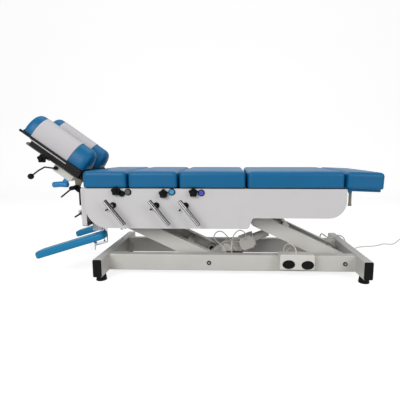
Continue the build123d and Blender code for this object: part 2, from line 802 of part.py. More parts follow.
release_x = 833
release_y = 240
with BuildPart() as foot_plate:
    with BuildSketch(foot_deck.offset(-side_gap)):
        with Locations((foot_length / 2 + 3, 0)):
            RectangleRounded(foot_length - 12, 2 * board_half_width, 12)
    extrude(amount=-board_thickness)
    for y in (-hinge_ear_y[0], hinge_ear_y[1]):
        with BuildSketch(side(y)):
            with Locations((foot_hinge_x, foot_hinge_z)):
                Circle(9)
            with Locations((foot_hinge_x + 28, cushion_low_z - 12)):
                Rectangle(34, 4)
            make_hull()
            with Locations((foot_hinge_x, foot_hinge_z)):
                Circle(hinge_pin_radius + running_fit, mode=Mode.SUBTRACT)
        extrude(amount=hinge_ear_y[1] - hinge_ear_y[0])
    with BuildSketch(side(-release_y + 12)):
        with Locations((release_x, 494)):
            Circle(8)
        with Locations((release_x, cushion_low_z - 14)):
            Rectangle(26, 4)
        make_hull()
    extrude(amount=5)
    with BuildSketch(side_at(release_x, -release_y + 12, 494)):
        Circle(4)
    extrude(amount=16)
save(foot_plate, "foot_plate")

# Release bar of the foot section, flat and flared at its tip
with BuildPart() as foot_release_bar:
    with BuildSketch(side(-release_y + 6.7)):
        with BuildLine():
            Polyline(
                (release_x - 7.5, 502),
                (release_x - 7.5, 440),
                (release_x - 10, 421),
                (release_x + 10, 421),
                (release_x + 7.5, 440),
                (release_x + 7.5, 502),
                close=True,
            )
        make_face()
        fillet(vertices(), 2.4)
        with Locations((release_x, 494)):
            Circle(4 + running_fit, mode=Mode.SUBTRACT)
    extrude(amount=5)
save(foot_release_bar, "foot_release_bar")


# Cocking levers: shaft through the panel, bright bar outside, lifting finger inside
lever_y = 328
finger_reach = 74


def cocking_lever(hub_x):
    """Lever with its bar sloping down toward the foot end."""
    hub = side_at(hub_x, 0, lever_hub_z, -lever_slope)
    bar = Plane(
        origin=hub.from_local_coords((-lever_above_hub, 0, lever_y)),
        x_dir=(0, 1, 0),
        z_dir=(cos(radians(lever_slope)), 0, -sin(radians(lever_slope))),
    )
    with BuildPart() as lever:
        with BuildSketch(side_at(hub_x, -182, lever_hub_z)):
            Circle(lever_radius)
        extrude(amount=lever_y - 182)
        with BuildSketch(bar):
            Circle(lever_radius)
        extrude(amount=lever_length)
        ends = lever.edges().filter_by(GeomType.CIRCLE).sort_by(Axis.Y)[:2]
        chamfer(ends, 1.5)
        with BuildSketch(side(-182)):
            with Locations((hub_x, lever_hub_z)):
                Circle(14)
            with Locations((hub_x, lever_hub_z + finger_reach - 7)):
                Circle(7)
            make_hull()
        extrude(amount=12)
    return lever


for name, x in zip(("chest", "lumbar", "pelvic"), lever_hub_x):
    save(cocking_lever(x), name + "_lever")


# Lobed tension knobs
def star_knob(plane, radius, length, stud_radius, stud_length):
    """Five-lobed hand knob on a stud; the plane is the knob's inner face, facing outward."""
    with BuildPart() as knob:
        with BuildSketch(plane):
            Circle(radius * 0.82)
            with PolarLocations(radius * 0.66, 5, start_angle=90):
                Circle(radius * 0.34)
        extrude(amount=length * 0.62)
        fillet(knob.faces().sort_by(Axis.Y)[0].edges(), 3)
        with BuildSketch(plane):
            Circle(radius * 0.42)
        extrude(amount=length)
        with BuildSketch(plane):
            Circle(stud_radius)
        extrude(amount=-stud_length)
    return knob


for name, (x, z) in zip(("chest", "lumbar", "pelvic"), knob_at):
    save(star_knob(side_at(x, -cushion_half_width - 1, z), knob_radius, 27, 4, 24), name + "_knob")

# Push buttons that release each drop
for name, (x, z) in zip(("chest", "lumbar", "pelvic"), button_at):
    with BuildPart() as button:
        with BuildSketch(side_at(x, -panel_face_y - 1, z)):
            Circle(button_radius)
        extrude(amount=11)
        fillet(button.edges().sort_by(Axis.Y)[0], 4)
        with BuildSketch(side_at(x, -panel_face_y + 14, z)):
            Circle(8)
        extrude(amount=16)
    save(button, name + "_button")

# Head section planes: u runs to the head end along the pad, w rises from it
lean = radians(head_tilt)
u_dir = (-cos(lean), 0, sin(lean))
w_dir = (sin(lean), 0, cos(lean))
head = Plane(origin=(tilt_axis_x, 0, tilt_axis_z), x_dir=u_dir, z_dir=w_dir)


def head_side(y):
    """Plane of the tilted head section at depth y: sketch axes are u and w, extrusion goes toward +Y."""
    return Plane(origin=(tilt_axis_x, y, tilt_axis_z), x_dir=u_dir, z_dir=(0, 1, 0))


def head_slice(u):
    """Plane across the head section: sketch x is toward the near side, sketch y is w."""
    return Plane(origin=head.from_local_coords((u, 0, 0)), x_dir=(0, -1, 0), z_dir=u_dir)


# Sleeves on the posts with the tilt hinge blocks, and the stud for the clamp lever
hinge_block_y = (140.3, 162)
with BuildPart() as post_sleeves:
    for y in (-post_y, post_y):
        with BuildSketch(Plane.XY.offset(405)):
            with Locations((post_x, y)):
                Circle(sleeve_radius)
        extrude(amount=95)
    for y in (-hinge_block_y[0], hinge_block_y[1]):
        with BuildSketch(side(y)):
            with Locations((tilt_axis_x, tilt_axis_z)):
                Circle(14)
            with Locations((post_x, 488)):
                Rectangle(24, 16)
            make_hull()
        extrude(amount=hinge_block_y[1] - hinge_block_y[0])
    for y in (-post_y, post_y):
        with BuildSketch(Plane.XY.offset(404)):
            with Locations((post_x, y)):
                Circle(post_radius + running_fit)
        extrude(amount=86, mode=Mode.SUBTRACT)
    for start, run in ((-122, 20), (142, 20)):
        with BuildSketch(side_at(tilt_axis_x, start, tilt_axis_z)):
            Circle(7)
        extrude(amount=run)
    with BuildSketch(side_at(tilt_axis_x, -160, tilt_axis_z)):
        Circle(6)
    extrude(amount=50)
save(post_sleeves, "post_sleeves")

# Head plate with hinge lugs, a boss for the knob stud and the box beneath
plate_w = (36, 44)
plate_u = (-7, 385)
plate_half_y = 140
box_u = (64, 193)
box_w = (-16, 36)
stud_u = 230
lever_points = [(175, 8), (195, -6), (233, -26), (253, -66), (268, -110)]
lever_shaft_radius = 5
stud_w = 39
with BuildPart() as head_plate:
    with BuildSketch(head.offset(plate_w[0])):
        with Locations(((plate_u[0] + plate_u[1]) / 2, 0)):
            RectangleRounded(plate_u[1] - plate_u[0], 2 * plate_half_y, 16)
    extrude(amount=plate_w[1] - plate_w[0])
    for y in (-136, 126):
        with BuildSketch(head_side(y)):
            Circle(12)
            with Locations((22, plate_w[0] + 2)):
                Rectangle(50, 4)
            make_hull()
            Circle(7 + running_fit, mode=Mode.SUBTRACT)
        extrude(amount=10)
    with BuildSketch(head_side(-100)):
        with Locations(((box_u[0] + box_u[1]) / 2, (box_w[0] + box_w[1]) / 2 + 1)):
            RectangleRounded(box_u[1] - box_u[0], box_w[1] - box_w[0] + 2, 12)
    extrude(amount=200)
    with BuildSketch(head_side(-plate_half_y)):
        with Locations((stud_u, 37)):
            Rectangle(22, 14)
    extrude(amount=40)
    with BuildSketch(head_side(-plate_half_y - 1)):
        with Locations((stud_u, stud_w)):
            Circle(4 + running_fit)
    extrude(amount=30, mode=Mode.SUBTRACT)
    with BuildSketch(head_side(-101)):
        with Locations(lever_points[0]):
            Circle(lever_shaft_radius + running_fit)
    extrude(amount=22, mode=Mode.SUBTRACT)
save(head_plate, "head_plate")

# Head board with its runners and the two long paper bars
board_w = (92, 104.7)
board_u = (10, 424)
paper_bar_y = 180
with BuildPart() as head_board:
    with BuildSketch(head.offset(board_w[0])):
        with Locations(((board_u[0] + board_u[1]) / 2, 0)):
            RectangleRounded(board_u[1] - board_u[0], 330, 20)
    extrude(amount=board_w[1] - board_w[0])
    with BuildSketch(head_slice(24)):
        with Locations((-135, (44.3 + 93) / 2), (135, (44.3 + 93) / 2)):
            Rectangle(30, 93 - 44.3)
            Rectangle(22, 93 - 44.3 - 12, mode=Mode.SUBTRACT)
    extrude(amount=330)
    for y in (-paper_bar_y, paper_bar_y):
        with BuildSketch(head_slice(20)):
            with Locations((y, 98)):
                Circle(7)
        extrude(amount=404)
        for u in (60, 390):
            with BuildSketch(head_slice(u)):
                with Locations((y * 0.95, 98)):
                    Rectangle(22, 8)
            extrude(amount=12)
save(head_board, "head_board")


# Face cushions: two domed bolsters with a slot for the face between them
def dome(y, grow):
    """Bolster section across the head, grown evenly by a margin, as a sketch on a slice plane."""
    with BuildSketch(mode=Mode.PRIVATE) as section:
        with Locations((y, head_dome_spring)):
            Ellipse(head_dome_half + grow, head_dome_rise + grow)
        with Locations((y, head_dome_spring - 100)):
            Rectangle(400, 200, mode=Mode.SUBTRACT)
        with Locations((y, (head_dome_base + head_dome_spring) / 2)):
            Rectangle(2 * (head_dome_half + grow), head_dome_spring - head_dome_base)
    return section.sketch


with BuildPart() as head_cushions:
    for y in (-head_dome_y, head_dome_y):
        with BuildSketch(head_slice(head_start_u)):
            add(dome(y, 0))
        extrude(amount=head_end_u - head_start_u)
    fillet(head_cushions.edges().filter_by(GeomType.ELLIPSE), 16)
save(head_cushions, "head_cushions")

# Paper sheet pulled over both bolsters, dipping between them
paper_u = (118, 360)
dip_w = 165
with BuildPart() as head_paper:
    with BuildSketch(head_slice(paper_u[0])):
        for y in (-head_dome_y, head_dome_y):
            add(dome(y, 1.2))
        with Locations((0, dip_w)):
            Rectangle(90, 2)
        for y in (-head_dome_y, head_dome_y):
            add(dome(y, 0.4), mode=Mode.SUBTRACT)
        with Locations((0, dip_w - 51)):
            Rectangle(90, 100, mode=Mode.SUBTRACT)
    extrude(amount=paper_u[1] - paper_u[0])
save(head_paper, "head_paper")

# Knob that locks the head slide
stud = head.from_local_coords((stud_u, 0, stud_w))
save(star_knob(side_at(stud.X, -190, stud.Z), knob_radius, 26, 4, 76), "head_star_knob")

# Cranked lever with a ball that frees the head section
ball_radius = 17.5
with BuildPart() as ball_lever:
    with BuildSketch(head_side(-111.7)):
        with Locations(lever_points[0]):
            Circle(11)
    extrude(amount=8)
    with BuildSketch(head_side(-106)):
        with Locations(lever_points[0]):
            Circle(lever_shaft_radius)
    extrude(amount=26)
    with BuildLine(head_side(-106)) as lever_path:
        FilletPolyline(lever_points, radius=12)
    with BuildSketch(Plane(origin=lever_path.line @ 0, z_dir=lever_path.line % 0)):
        Circle(4.5)
    sweep()
    ball_at = lever_path.line @ 1 + 13 * (lever_path.line % 1)
    with Locations(Plane(origin=ball_at, z_dir=lever_path.line % 1)):
        Sphere(ball_radius)
save(ball_lever, "ball_lever")

# Blue grip under the box
with BuildPart() as hand_grip:
    with BuildLine(head_side(-94)) as grip_path:
        Polyline((66, -37), (104, -60), (142, -92))
    with BuildSketch(Plane(origin=grip_path.line @ 0, z_dir=grip_path.line % 0)):
        Circle(17)
    sweep(transition=Transition.ROUND)
    fillet(hand_grip.edges().filter_by(GeomType.CIRCLE), 8)
    with BuildSketch(head_side(-100)):
        with Locations((92, box_w[0] - 15)):
            Rectangle(26, 30)
    extrude(amount=20)
save(hand_grip, "hand_grip")


# Clamp levers
def clamp_lever(x, y, z, hub_radius, hub_length, start, end, bar_radius, bore):
    """Hub bored for its stud with a slim round lever across it, given in X and Z from the hub."""
    run = hypot(end[0] - start[0], end[1] - start[1])
    direction = ((end[0] - start[0]) / run, 0, (end[1] - start[1]) / run)
    with BuildPart() as lever:
        with BuildSketch(side_at(x, y, z)):
            Circle(hub_radius)
        extrude(amount=hub_length)
        tail = Plane(origin=(x + start[0], y - hub_length / 2, z + start[1]), z_dir=direction)
        with BuildSketch(tail):
            Circle(bar_radius)
        extrude(amount=run)
        with BuildSketch(side_at(x, y, z)):
            Circle(bore + running_fit)
        extrude(amount=hub_length * 0.8, mode=Mode.SUBTRACT)
    return lever


drop = radians(38)
tilt_end = (-84 * cos(drop), -84 * sin(drop))
tilt_clamp_lever = clamp_lever(tilt_axis_x, -188, tilt_axis_z, 12, 28, (0, 0), tilt_end, 4.5, 6)
save(tilt_clamp_lever, "tilt_clamp_lever")
post_clamp_lever = clamp_lever(
    post_hub[0], -168, post_hub[1], 11, 20, (-47.1, -25.4), (21.9, 15.3), 5, 5
)
save(post_clamp_lever, "post_clamp_lever")


# Cords: straight runs joined by arcs as large as the runs allow
def cord(points, radius, name):
    """Round cord along a route of points; prints its radii and its volume against section times length."""
    radii = []
    for before, here, after in zip(points, points[1:], points[2:]):
        first = Vector(*here) - Vector(*before)
        second = Vector(*after) - Vector(*here)
        turn = radians(first.get_angle(second))
        radii.append(0.45 * min(first.length, second.length) / tan(turn / 2))
    with BuildPart() as tube:
        with BuildLine() as route:
            FilletPolyline(points, radius=radii)
        with BuildSketch(Plane(origin=route.line @ 0, z_dir=route.line % 0)):
            Circle(radius)
        sweep()
    length = sum(edge.length for edge in route.line.edges())
    ideal = 3.141593 * radius**2 * length
    print(name, "length", round(length), "volume ratio", round(tube.part.volume / ideal, 4))
    print(name, "radii", [round(r) for r in radii])
    return tube


# Foot switch cable: over the rail, down inside it and back to the control box
signal_radius = 3
switch_route = [
    (554, -232, switch_z[1]),
    (553, -230, 170),
    (544, -212, 187),
    (526, -184, 193),
    (509, -160, 183),
    (501, -146, 161),
    (498, -144, 136),
    (497, -133, 113),
    (508, -108, 108),
    (528, -90, 122),
    (550, -81, 139),
    (573, -74, 128),
    (576, -70, 100),
    (550, -71, 79),
    (500, -75, 69),
    (426, -84, 63),
    (366, -92, 66),
    (314, -100, 72),
    (box_x[1], -102, 74),
]
foot_switch_cable = cord(switch_route, signal_radius, "foot switch cable")
save(foot_switch_cable, "foot_switch_cable")

# Motor leads: two loops from the control box lid to the side of the actuator
lid_z = 110
motor_route = [
    (160, -100, lid_z),
    (156, -98, 130),
    (136, -88, 151),
    (106, -72, 168),
    (84, -62, 190),
    (90, -58, 215),
    (113, -56, 233),
    (138, -54, 228),
    (158, -50, 208),
    (177, -42, 185),
    (193, -37, 166),
    (201, -30, 153),
    (201, -17.5 - side_gap, 153),
]
sensor_route = [
    (196, -100, lid_z),
    (195, -96, 136),
    (193, -84, 165),
    (199, -72, 195),
    (216, -66, 224),
    (240, -62, 241),
    (264, -61, 235),
    (279, -60, 216),
    (284, -60, 193),
    (283, -55, 176),
    (283, -41 - side_gap, 176),
]
motor_loop = cord(motor_route, signal_radius, "motor loop")
sensor_loop = cord(sensor_route, signal_radius, "sensor loop")
with BuildPart() as actuator_cables:
    add(motor_loop.part)
    add(sensor_loop.part)
save(actuator_cables, "actuator_cables")

# Mains lead: out of its gland, over the rail and the foot crossbeam, then along the floor
lead_radius = 4
floor_z = 4.3
mains_route = [
    (gland_x, rail_outer_y + gland_length, gland_z),
    (gland_x, 240, 92),
    (821, 258, 114),
    (824, 248, 142),
    (828, 220, 150),
    (838, 193, 141),
    (858, 174, 133.4),
    (886, 184, 134.5),
    (908, 208, 140),
    (934, 220, 141),
    (958, 205, 138),
    (974, 194, 117),
    (978, 200, 88),
    (982, 218, 56),
    (994, 243, 27),
    (1014, 268, 10),
    (1056, 306, floor_z),
    (1118, 371, floor_z),
    (1186, 413, floor_z),
    (1262, 419, floor_z),
    (1330, 452, floor_z),
    (1386, 496, floor_z),
    (1438, 472, floor_z),
    (1494, 524, floor_z),
    (1540, 584, floor_z),
    (1596, 648, floor_z),
    (1658, 688, floor_z),
    (1722, 698, floor_z),
    (1764, 720, floor_z),
    (1772, 760, floor_z),
]
coil_at = (1727, 775)
coil_middle = 45
coil_half_width = 12
coil_height = 17
tail_route = [
    (1752, 737, 13),
    (1776, 738, 13.4),
    (1799, 750, 13.8),
    (1811, 773, 13.8),
    (1813, 799, 13.8),
]
main_run = cord(mains_route, lead_radius, "mains lead")
tail_run = cord(tail_route, lead_radius, "mains tail")
with BuildPart() as mains_lead:
    add(main_run.part)
    add(tail_run.part)
save(mains_lead, "mains_lead")

with BuildPart() as mains_coil:
    with BuildSketch(Plane(origin=(coil_at[0], coil_at[1], 0.2), x_dir=(1, 0, 0), z_dir=(0, -1, 0))):
        with Locations((coil_middle, coil_height / 2)):
            RectangleRounded(2 * coil_half_width, coil_height, 5)
    revolve(axis=Axis(origin=(coil_at[0], coil_at[1], 0), direction=(0, 0, 1)))
save(mains_coil, "mains_coil")

tail_end = Vector(*tail_route[-1])
tail_before = Vector(*tail_route[-2])
plug_dir = Vector(tail_end.X - tail_before.X, tail_end.Y - tail_before.Y, 0).normalized()
plug_plane = Plane(origin=tail_end, x_dir=(plug_dir.Y, -plug_dir.X, 0), z_dir=plug_dir)
with BuildPart() as mains_plug:
    with BuildSketch(plug_plane):
        Circle(5.5)
    with BuildSketch(plug_plane.offset(24)):
        RectangleRounded(15, 13, 5)
    loft()
    with BuildSketch(plug_plane.offset(23)):
        RectangleRounded(26, 22, 8)
    with BuildSketch(plug_plane.offset(46)):
        RectangleRounded(34, 27, 9)
    loft()
    with BuildSketch(plug_plane.offset(46)):
        RectangleRounded(34, 27, 9)
    extrude(amount=6)
    with BuildSketch(plug_plane.offset(51)):
        with Locations((-6.35, 3), (6.35, 3)):
            Rectangle(1.5, 6.3)
        with Locations((0, -7)):
            Circle(2.4)
    extrude(amount=19)
save(mains_plug, "mains_plug")
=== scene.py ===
# %% [markdown]
# A treatment table with a lifting frame
#
# This notebook dresses the finished solids of an adjusting table. The steel stays as it was drawn and gets
# its paint, while vinyl, paper, cords and grips are made here. Everything is in metres: +X runs to the foot
# end, -Y is the side with the levers, and the floor is z = 0.

# %% Load the frame
import json
from math import cos, pi, radians, sin, tan

import bpy
import numpy as np
from mathutils import Matrix, Vector


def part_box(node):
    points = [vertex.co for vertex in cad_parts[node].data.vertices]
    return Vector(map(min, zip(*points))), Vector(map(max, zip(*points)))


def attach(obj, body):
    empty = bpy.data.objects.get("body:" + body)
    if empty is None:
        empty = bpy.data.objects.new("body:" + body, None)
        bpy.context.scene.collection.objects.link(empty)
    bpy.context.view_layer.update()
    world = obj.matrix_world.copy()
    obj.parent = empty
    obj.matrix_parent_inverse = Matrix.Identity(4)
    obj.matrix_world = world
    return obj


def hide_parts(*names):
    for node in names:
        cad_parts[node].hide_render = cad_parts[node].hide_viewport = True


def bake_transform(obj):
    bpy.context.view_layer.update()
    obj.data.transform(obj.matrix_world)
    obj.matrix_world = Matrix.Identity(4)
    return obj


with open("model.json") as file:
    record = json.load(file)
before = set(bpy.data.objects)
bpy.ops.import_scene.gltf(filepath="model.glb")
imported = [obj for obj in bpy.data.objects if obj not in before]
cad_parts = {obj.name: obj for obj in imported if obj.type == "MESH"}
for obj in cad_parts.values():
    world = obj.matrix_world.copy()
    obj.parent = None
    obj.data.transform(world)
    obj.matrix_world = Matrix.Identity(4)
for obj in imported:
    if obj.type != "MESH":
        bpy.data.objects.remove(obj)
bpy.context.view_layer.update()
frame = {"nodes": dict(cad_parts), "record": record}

nodes = frame["nodes"]
scene = bpy.context.scene
print("solids loaded:", len(nodes))

# %% [markdown]
# Camera
#
# The picture was taken from the lever side, a little above the cushions, with a moderately wide lens. A
# camera is turned by giving it three directions: where it looks, what is right, and what is up. The lens
# shift moves the frame without turning the camera any further.

# %% Camera
def aim(position, yaw, pitch):
    """Camera matrix from its place, its turn about the vertical and its tilt.
    Forward is (-sin yaw cos pitch, cos yaw cos pitch, sin pitch), right is level, up is right cross
    forward."""
    forward = Vector((-sin(yaw) * cos(pitch), cos(yaw) * cos(pitch), sin(pitch)))
    right = Vector((cos(yaw), sin(yaw), 0))
    up = right.cross(forward)
    turn = Matrix((right, up, -forward)).transposed().to_4x4()
    return Matrix.Translation(position) @ turn


camera_data = bpy.data.cameras.new("camera")
camera = bpy.data.objects.new("camera", camera_data)
scene.collection.objects.link(camera)
camera.matrix_world = aim((0.178, -1.982, 0.7073), 0.02822, -0.1303)
camera_data.sensor_width = 36
camera_data.lens = 28.95
camera_data.shift_x = -0.0503
camera_data.shift_y = -0.0125
camera_data.clip_end = 60
scene.camera = camera
scene.view_settings.view_transform = "Standard"
print("lens", camera_data.lens, "mm")

# %% [markdown]
# Most new pieces are grids of points: rows of rings or outlines, worked out as whole arrays. One helper
# turns such a grid into a mesh, one turns its faces outward, and one makes the object.

# %% Grid meshes
def grid_mesh(name, points, around=False, caps=False):
    """Mesh of a grid of points, rows by columns. Each face joins two neighbours of one row to the same two
    of the next row; 'around' also joins the last column to the first, and 'caps' closes the first and last
    row."""
    rows, columns = points.shape[:2]
    index = np.arange(rows * columns).reshape(rows, columns)
    if around:
        index = np.concatenate([index, index[:, :1]], axis=1)
    quads = np.stack([index[:-1, :-1], index[1:, :-1], index[1:, 1:], index[:-1, 1:]], axis=-1).reshape(-1, 4)
    flat = points.reshape(-1, 3)
    faces = quads.tolist()
    if caps:
        ends = np.stack([points[0].mean(axis=0), points[-1].mean(axis=0)])
        first, last = len(flat), len(flat) + 1
        flat = np.concatenate([flat, ends])
        faces += [[first, b, a] for a, b in zip(index[0, :-1].tolist(), index[0, 1:].tolist())]
        faces += [[last, a, b] for a, b in zip(index[-1, :-1].tolist(), index[-1, 1:].tolist())]
    mesh = bpy.data.meshes.new(name)
    mesh.from_pydata(flat.tolist(), [], faces)
    mesh.update()
    return mesh


def outward(mesh):
    """Turns all faces outward if the signed volume (sum of corner triple products) is negative."""
    mesh.calc_loop_triangles()
    tri = np.empty(len(mesh.loop_triangles) * 3, dtype=np.int32)
    mesh.loop_triangles.foreach_get("vertices", tri)
    co = np.empty(len(mesh.vertices) * 3)
    mesh.vertices.foreach_get("co", co)
    a, b, c = co.reshape(-1, 3)[tri.reshape(-1, 3)].transpose(1, 0, 2)
    if np.einsum("ij,ij->", a, np.cross(b, c)) < 0:
        mesh.flip_normals()
    return mesh


def piece(name, mesh, material, body=None, stands_for=(), smooth=True):
    """Object at the origin with one material, riding on a body and standing for the solids it replaces."""
    thing = bpy.data.objects.new(name, mesh)
    scene.collection.objects.link(thing)
    mesh.materials.append(material)
    mesh.polygons.foreach_set("use_smooth", np.full(len(mesh.polygons), smooth))
    if body:
        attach(thing, body)
    if stands_for:
        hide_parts(*stands_for)
    return thing


# %% [markdown]
# Room
#
# A real studio shot of this kind is made on a roll of white paper that hangs from the wall and curves onto
# the floor. Here a flat run, a quarter circle and a flat wall are joined in one grid of points. Seen
# directly the sweep is nearly white by itself, and the rest of its brightness is reflected light, so that
# the table still leaves a soft shadow. The sky behind it is white to the camera and weaker as a light.

# %% Room
def camera_only_white(name, albedo, glow):
    """Matte surface that also glows by a fixed amount, but only where a camera or mirror ray meets it."""
    material = bpy.data.materials.new(name)
    material.use_nodes = True
    tree = material.node_tree
    tree.nodes.clear()
    out = tree.nodes.new("ShaderNodeOutputMaterial")
    matte = tree.nodes.new("ShaderNodeBsdfDiffuse")
    matte.inputs["Color"].default_value = (albedo, albedo, albedo, 1)
    light = tree.nodes.new("ShaderNodeEmission")
    rays = tree.nodes.new("ShaderNodeLightPath")
    seen = tree.nodes.new("ShaderNodeMath")
    seen.operation = "MAXIMUM"
    tree.links.new(rays.outputs["Is Camera Ray"], seen.inputs[0])
    tree.links.new(rays.outputs["Is Glossy Ray"], seen.inputs[1])
    scale = tree.nodes.new("ShaderNodeMath")
    scale.operation = "MULTIPLY"
    scale.inputs[1].default_value = glow
    tree.links.new(seen.outputs[0], scale.inputs[0])
    tree.links.new(scale.outputs[0], light.inputs["Strength"])
    both = tree.nodes.new("ShaderNodeAddShader")
    tree.links.new(matte.outputs[0], both.inputs[0])
    tree.links.new(light.outputs[0], both.inputs[1])
    tree.links.new(both.outputs[0], out.inputs["Surface"])
    return material


reach = np.linspace(-9, 9, 3)
bend = np.linspace(0, pi / 2, 12)
sweep_y = np.concatenate([[-7, 3.2], 3.2 + 1.5 * np.sin(bend), [4.7]])
sweep_z = np.concatenate([[0, 0], 1.5 - 1.5 * np.cos(bend), [7]])
sweep = np.stack([np.broadcast_to(reach[:, None], (3, len(sweep_y))),
                  np.broadcast_to(sweep_y, (3, len(sweep_y))),
                  np.broadcast_to(sweep_z, (3, len(sweep_y)))], axis=-1)
room = piece("studio_sweep", grid_mesh("studio_sweep", sweep), camera_only_white("studio white", 0.45, 0.80))

world = bpy.data.worlds.new("studio")
scene.world = world
world.use_nodes = True
sky = world.node_tree.nodes["Background"]
sky.inputs["Color"].default_value = (1, 1, 1, 1)
rays = world.node_tree.nodes.new("ShaderNodeLightPath")
level = world.node_tree.nodes.new("ShaderNodeMapRange")
level.inputs["To Min"].default_value = 0.34
level.inputs["To Max"].default_value = 1.0
world.node_tree.links.new(rays.outputs["Is Camera Ray"], level.inputs["Value"])
world.node_tree.links.new(level.outputs["Result"], sky.inputs["Strength"])


# %% [markdown]
# Three soft boxes light the table: a large one from the front left, a weaker one from the right and one from
# above, as in a product studio. Soft light keeps the panel even and leaves a faint shadow under the frame.

# %% Lamps
def softbox(name, place, target, size, watts):
    """Rectangular area lamp at a place, turned so that its face looks at the target."""
    data = bpy.data.lights.new(name, "AREA")
    data.shape = "RECTANGLE"
    data.size, data.size_y = size
    data.energy = watts
    lamp = bpy.data.objects.new(name, data)
    scene.collection.objects.link(lamp)
    look = (Vector(target) - Vector(place)).to_track_quat("-Z", "Y")
    lamp.matrix_world = Matrix.Translation(place) @ look.to_matrix().to_4x4()
    return lamp


softbox("front_left_box", (-1.6, -3.4, 2.2), (0, 0, 0.5), (2.4, 1.6), 80)
softbox("front_right_box", (2.4, -2.8, 1.6), (0.2, 0, 0.4), (1.6, 1.4), 30)
softbox("top_box", (0, 0.2, 3.2), (0, 0, 0.4), (3.0, 1.6), 34)
print("lamps placed")

# %% [markdown]
# Paint, vinyl and metal
#
# Each finish is a small node tree. A pattern is measured on Object coordinates, which are metres here, so a
# grain of one millimetre has a scale near a thousand. Colour is varied a few percent by a slow noise, and the
# surface is given height by a fast one.

# %% Finish helper
def finish(name, colour, rough, metal=0.0, vary=0.06, vary_scale=9.0, grain_scale=900.0, grain=0.1,
           grain_mm=0.2, rough_vary=0.08, coat=0.0, shine=0.5, stretch=(1, 1, 1)):
    """Principled surface. Colour = base times (1 - vary + 2 vary * slow noise); roughness shifts with the
    same noise; height = fast noise times grain_mm, at the strength grain."""
    material = bpy.data.materials.new(name)
    material.use_nodes = True
    tree = material.node_tree
    shader = tree.nodes["Principled BSDF"]
    place = tree.nodes.new("ShaderNodeTexCoord")
    mapping = tree.nodes.new("ShaderNodeMapping")
    mapping.inputs["Scale"].default_value = stretch
    tree.links.new(place.outputs["Object"], mapping.inputs["Vector"])
    slow = tree.nodes.new("ShaderNodeTexNoise")
    slow.inputs["Scale"].default_value = vary_scale
    slow.inputs["Detail"].default_value = 3
    tree.links.new(mapping.outputs[0], slow.inputs["Vector"])
    tint = tree.nodes.new("ShaderNodeMix")
    tint.data_type = "RGBA"
    low = [max(0.0, c * (1 - vary)) for c in colour]
    high = [min(1.0, c * (1 + vary)) for c in colour]
    tint.inputs["A"].default_value = (*low, 1)
    tint.inputs["B"].default_value = (*high, 1)
    tree.links.new(slow.outputs["Fac"], tint.inputs["Factor"])
    tree.links.new(tint.outputs["Result"], shader.inputs["Base Color"])
    spread = tree.nodes.new("ShaderNodeMapRange")
    spread.inputs["To Min"].default_value = max(0.02, rough - rough_vary)
    spread.inputs["To Max"].default_value = min(1.0, rough + rough_vary)
    tree.links.new(slow.outputs["Fac"], spread.inputs["Value"])
    tree.links.new(spread.outputs["Result"], shader.inputs["Roughness"])
    fast = tree.nodes.new("ShaderNodeTexNoise")
    fast.inputs["Scale"].default_value = grain_scale
    fast.inputs["Detail"].default_value = 2
    tree.links.new(mapping.outputs[0], fast.inputs["Vector"])
    bump = tree.nodes.new("ShaderNodeBump")
    bump.inputs["Strength"].default_value = grain
    bump.inputs["Distance"].default_value = grain_mm * 0.001
    tree.links.new(fast.outputs["Fac"], bump.inputs["Height"])
    tree.links.new(bump.outputs["Normal"], shader.inputs["Normal"])
    shader.inputs["Metallic"].default_value = metal
    shader.inputs["Coat Weight"].default_value = coat
    shader.inputs["Specular IOR Level"].default_value = shine
    if coat:
        shader.inputs["Coat Roughness"].default_value = 0.12
    return material


def linear(r, g, b):
    """Screen colour 0-255 to the linear values that shaders take: ((c / 255 + 0.055) / 1.055) ^ 2.4, and
    c / 255 / 12.92 for the darkest."""
    return tuple(((c / 255 + 0.055) / 1.055) ** 2.4 if c > 10 else c / 255 / 12.92 for c in (r, g, b))


# %% [markdown]
# Each slot of the record that has a paint here gets it. Powder coat has a very fine orange peel, chrome is
# nearly a mirror, and mouldings are matt. Colours are given as screen values and turned into light values.

# %% Rigid finishes
paint = {
    "grey_enamel": finish("warm grey powder coat", linear(206, 204, 198), 0.42, grain=0.25, grain_mm=0.3,
                          grain_scale=420, coat=0.15),
    "white_enamel": finish("white powder coat", linear(209, 207, 208), 0.38, vary=0.015, grain=0.2,
                           grain_mm=0.25, grain_scale=420, coat=0.2),
    "bright_chrome": finish("chromed steel", linear(225, 226, 230), 0.09, metal=1.0, vary=0.02,
                            rough_vary=0.03, grain=0.02, grain_scale=500),
    "black_plastic": finish("moulded black", linear(8, 8, 9), 0.34, shine=0.14, grain=0.35, grain_scale=700),
    "black_rubber": finish("black rubber", linear(9, 9, 10), 0.6, shine=0.14, grain=0.4, grain_scale=500),
    "grey_plastic": finish("grey button", linear(82, 92, 96), 0.3, grain=0.1),
    "cyan_plastic": finish("cyan button", linear(40, 150, 205), 0.22, grain=0.05, coat=0.4),
    "violet_plastic": finish("violet button", linear(58, 62, 190), 0.22, grain=0.05, coat=0.4),
    "blue_grip": finish("soft blue grip", linear(20, 128, 190), 0.4, grain=0.3, grain_scale=600),
    "white_plastic": finish("pale moulding", linear(222, 219, 213), 0.4, vary=0.02, grain=0.15,
                            grain_scale=800),
    "board": finish("black stained board", linear(18, 16, 16), 0.6, shine=0.25, grain=0.5, grain_scale=160,
                    stretch=(0.15, 1, 1)),
    "olive_enamel": finish("olive grey paint", linear(120, 118, 104), 0.42, grain=0.2, grain_scale=420),
    "zinc": finish("zinc plate", linear(190, 190, 186), 0.3, metal=0.85, vary=0.08, grain=0.1),
    "cord_sheath": finish("pale cord sheath", linear(226, 223, 213), 0.45, vary=0.04, grain=0.15,
                          grain_scale=900),
}


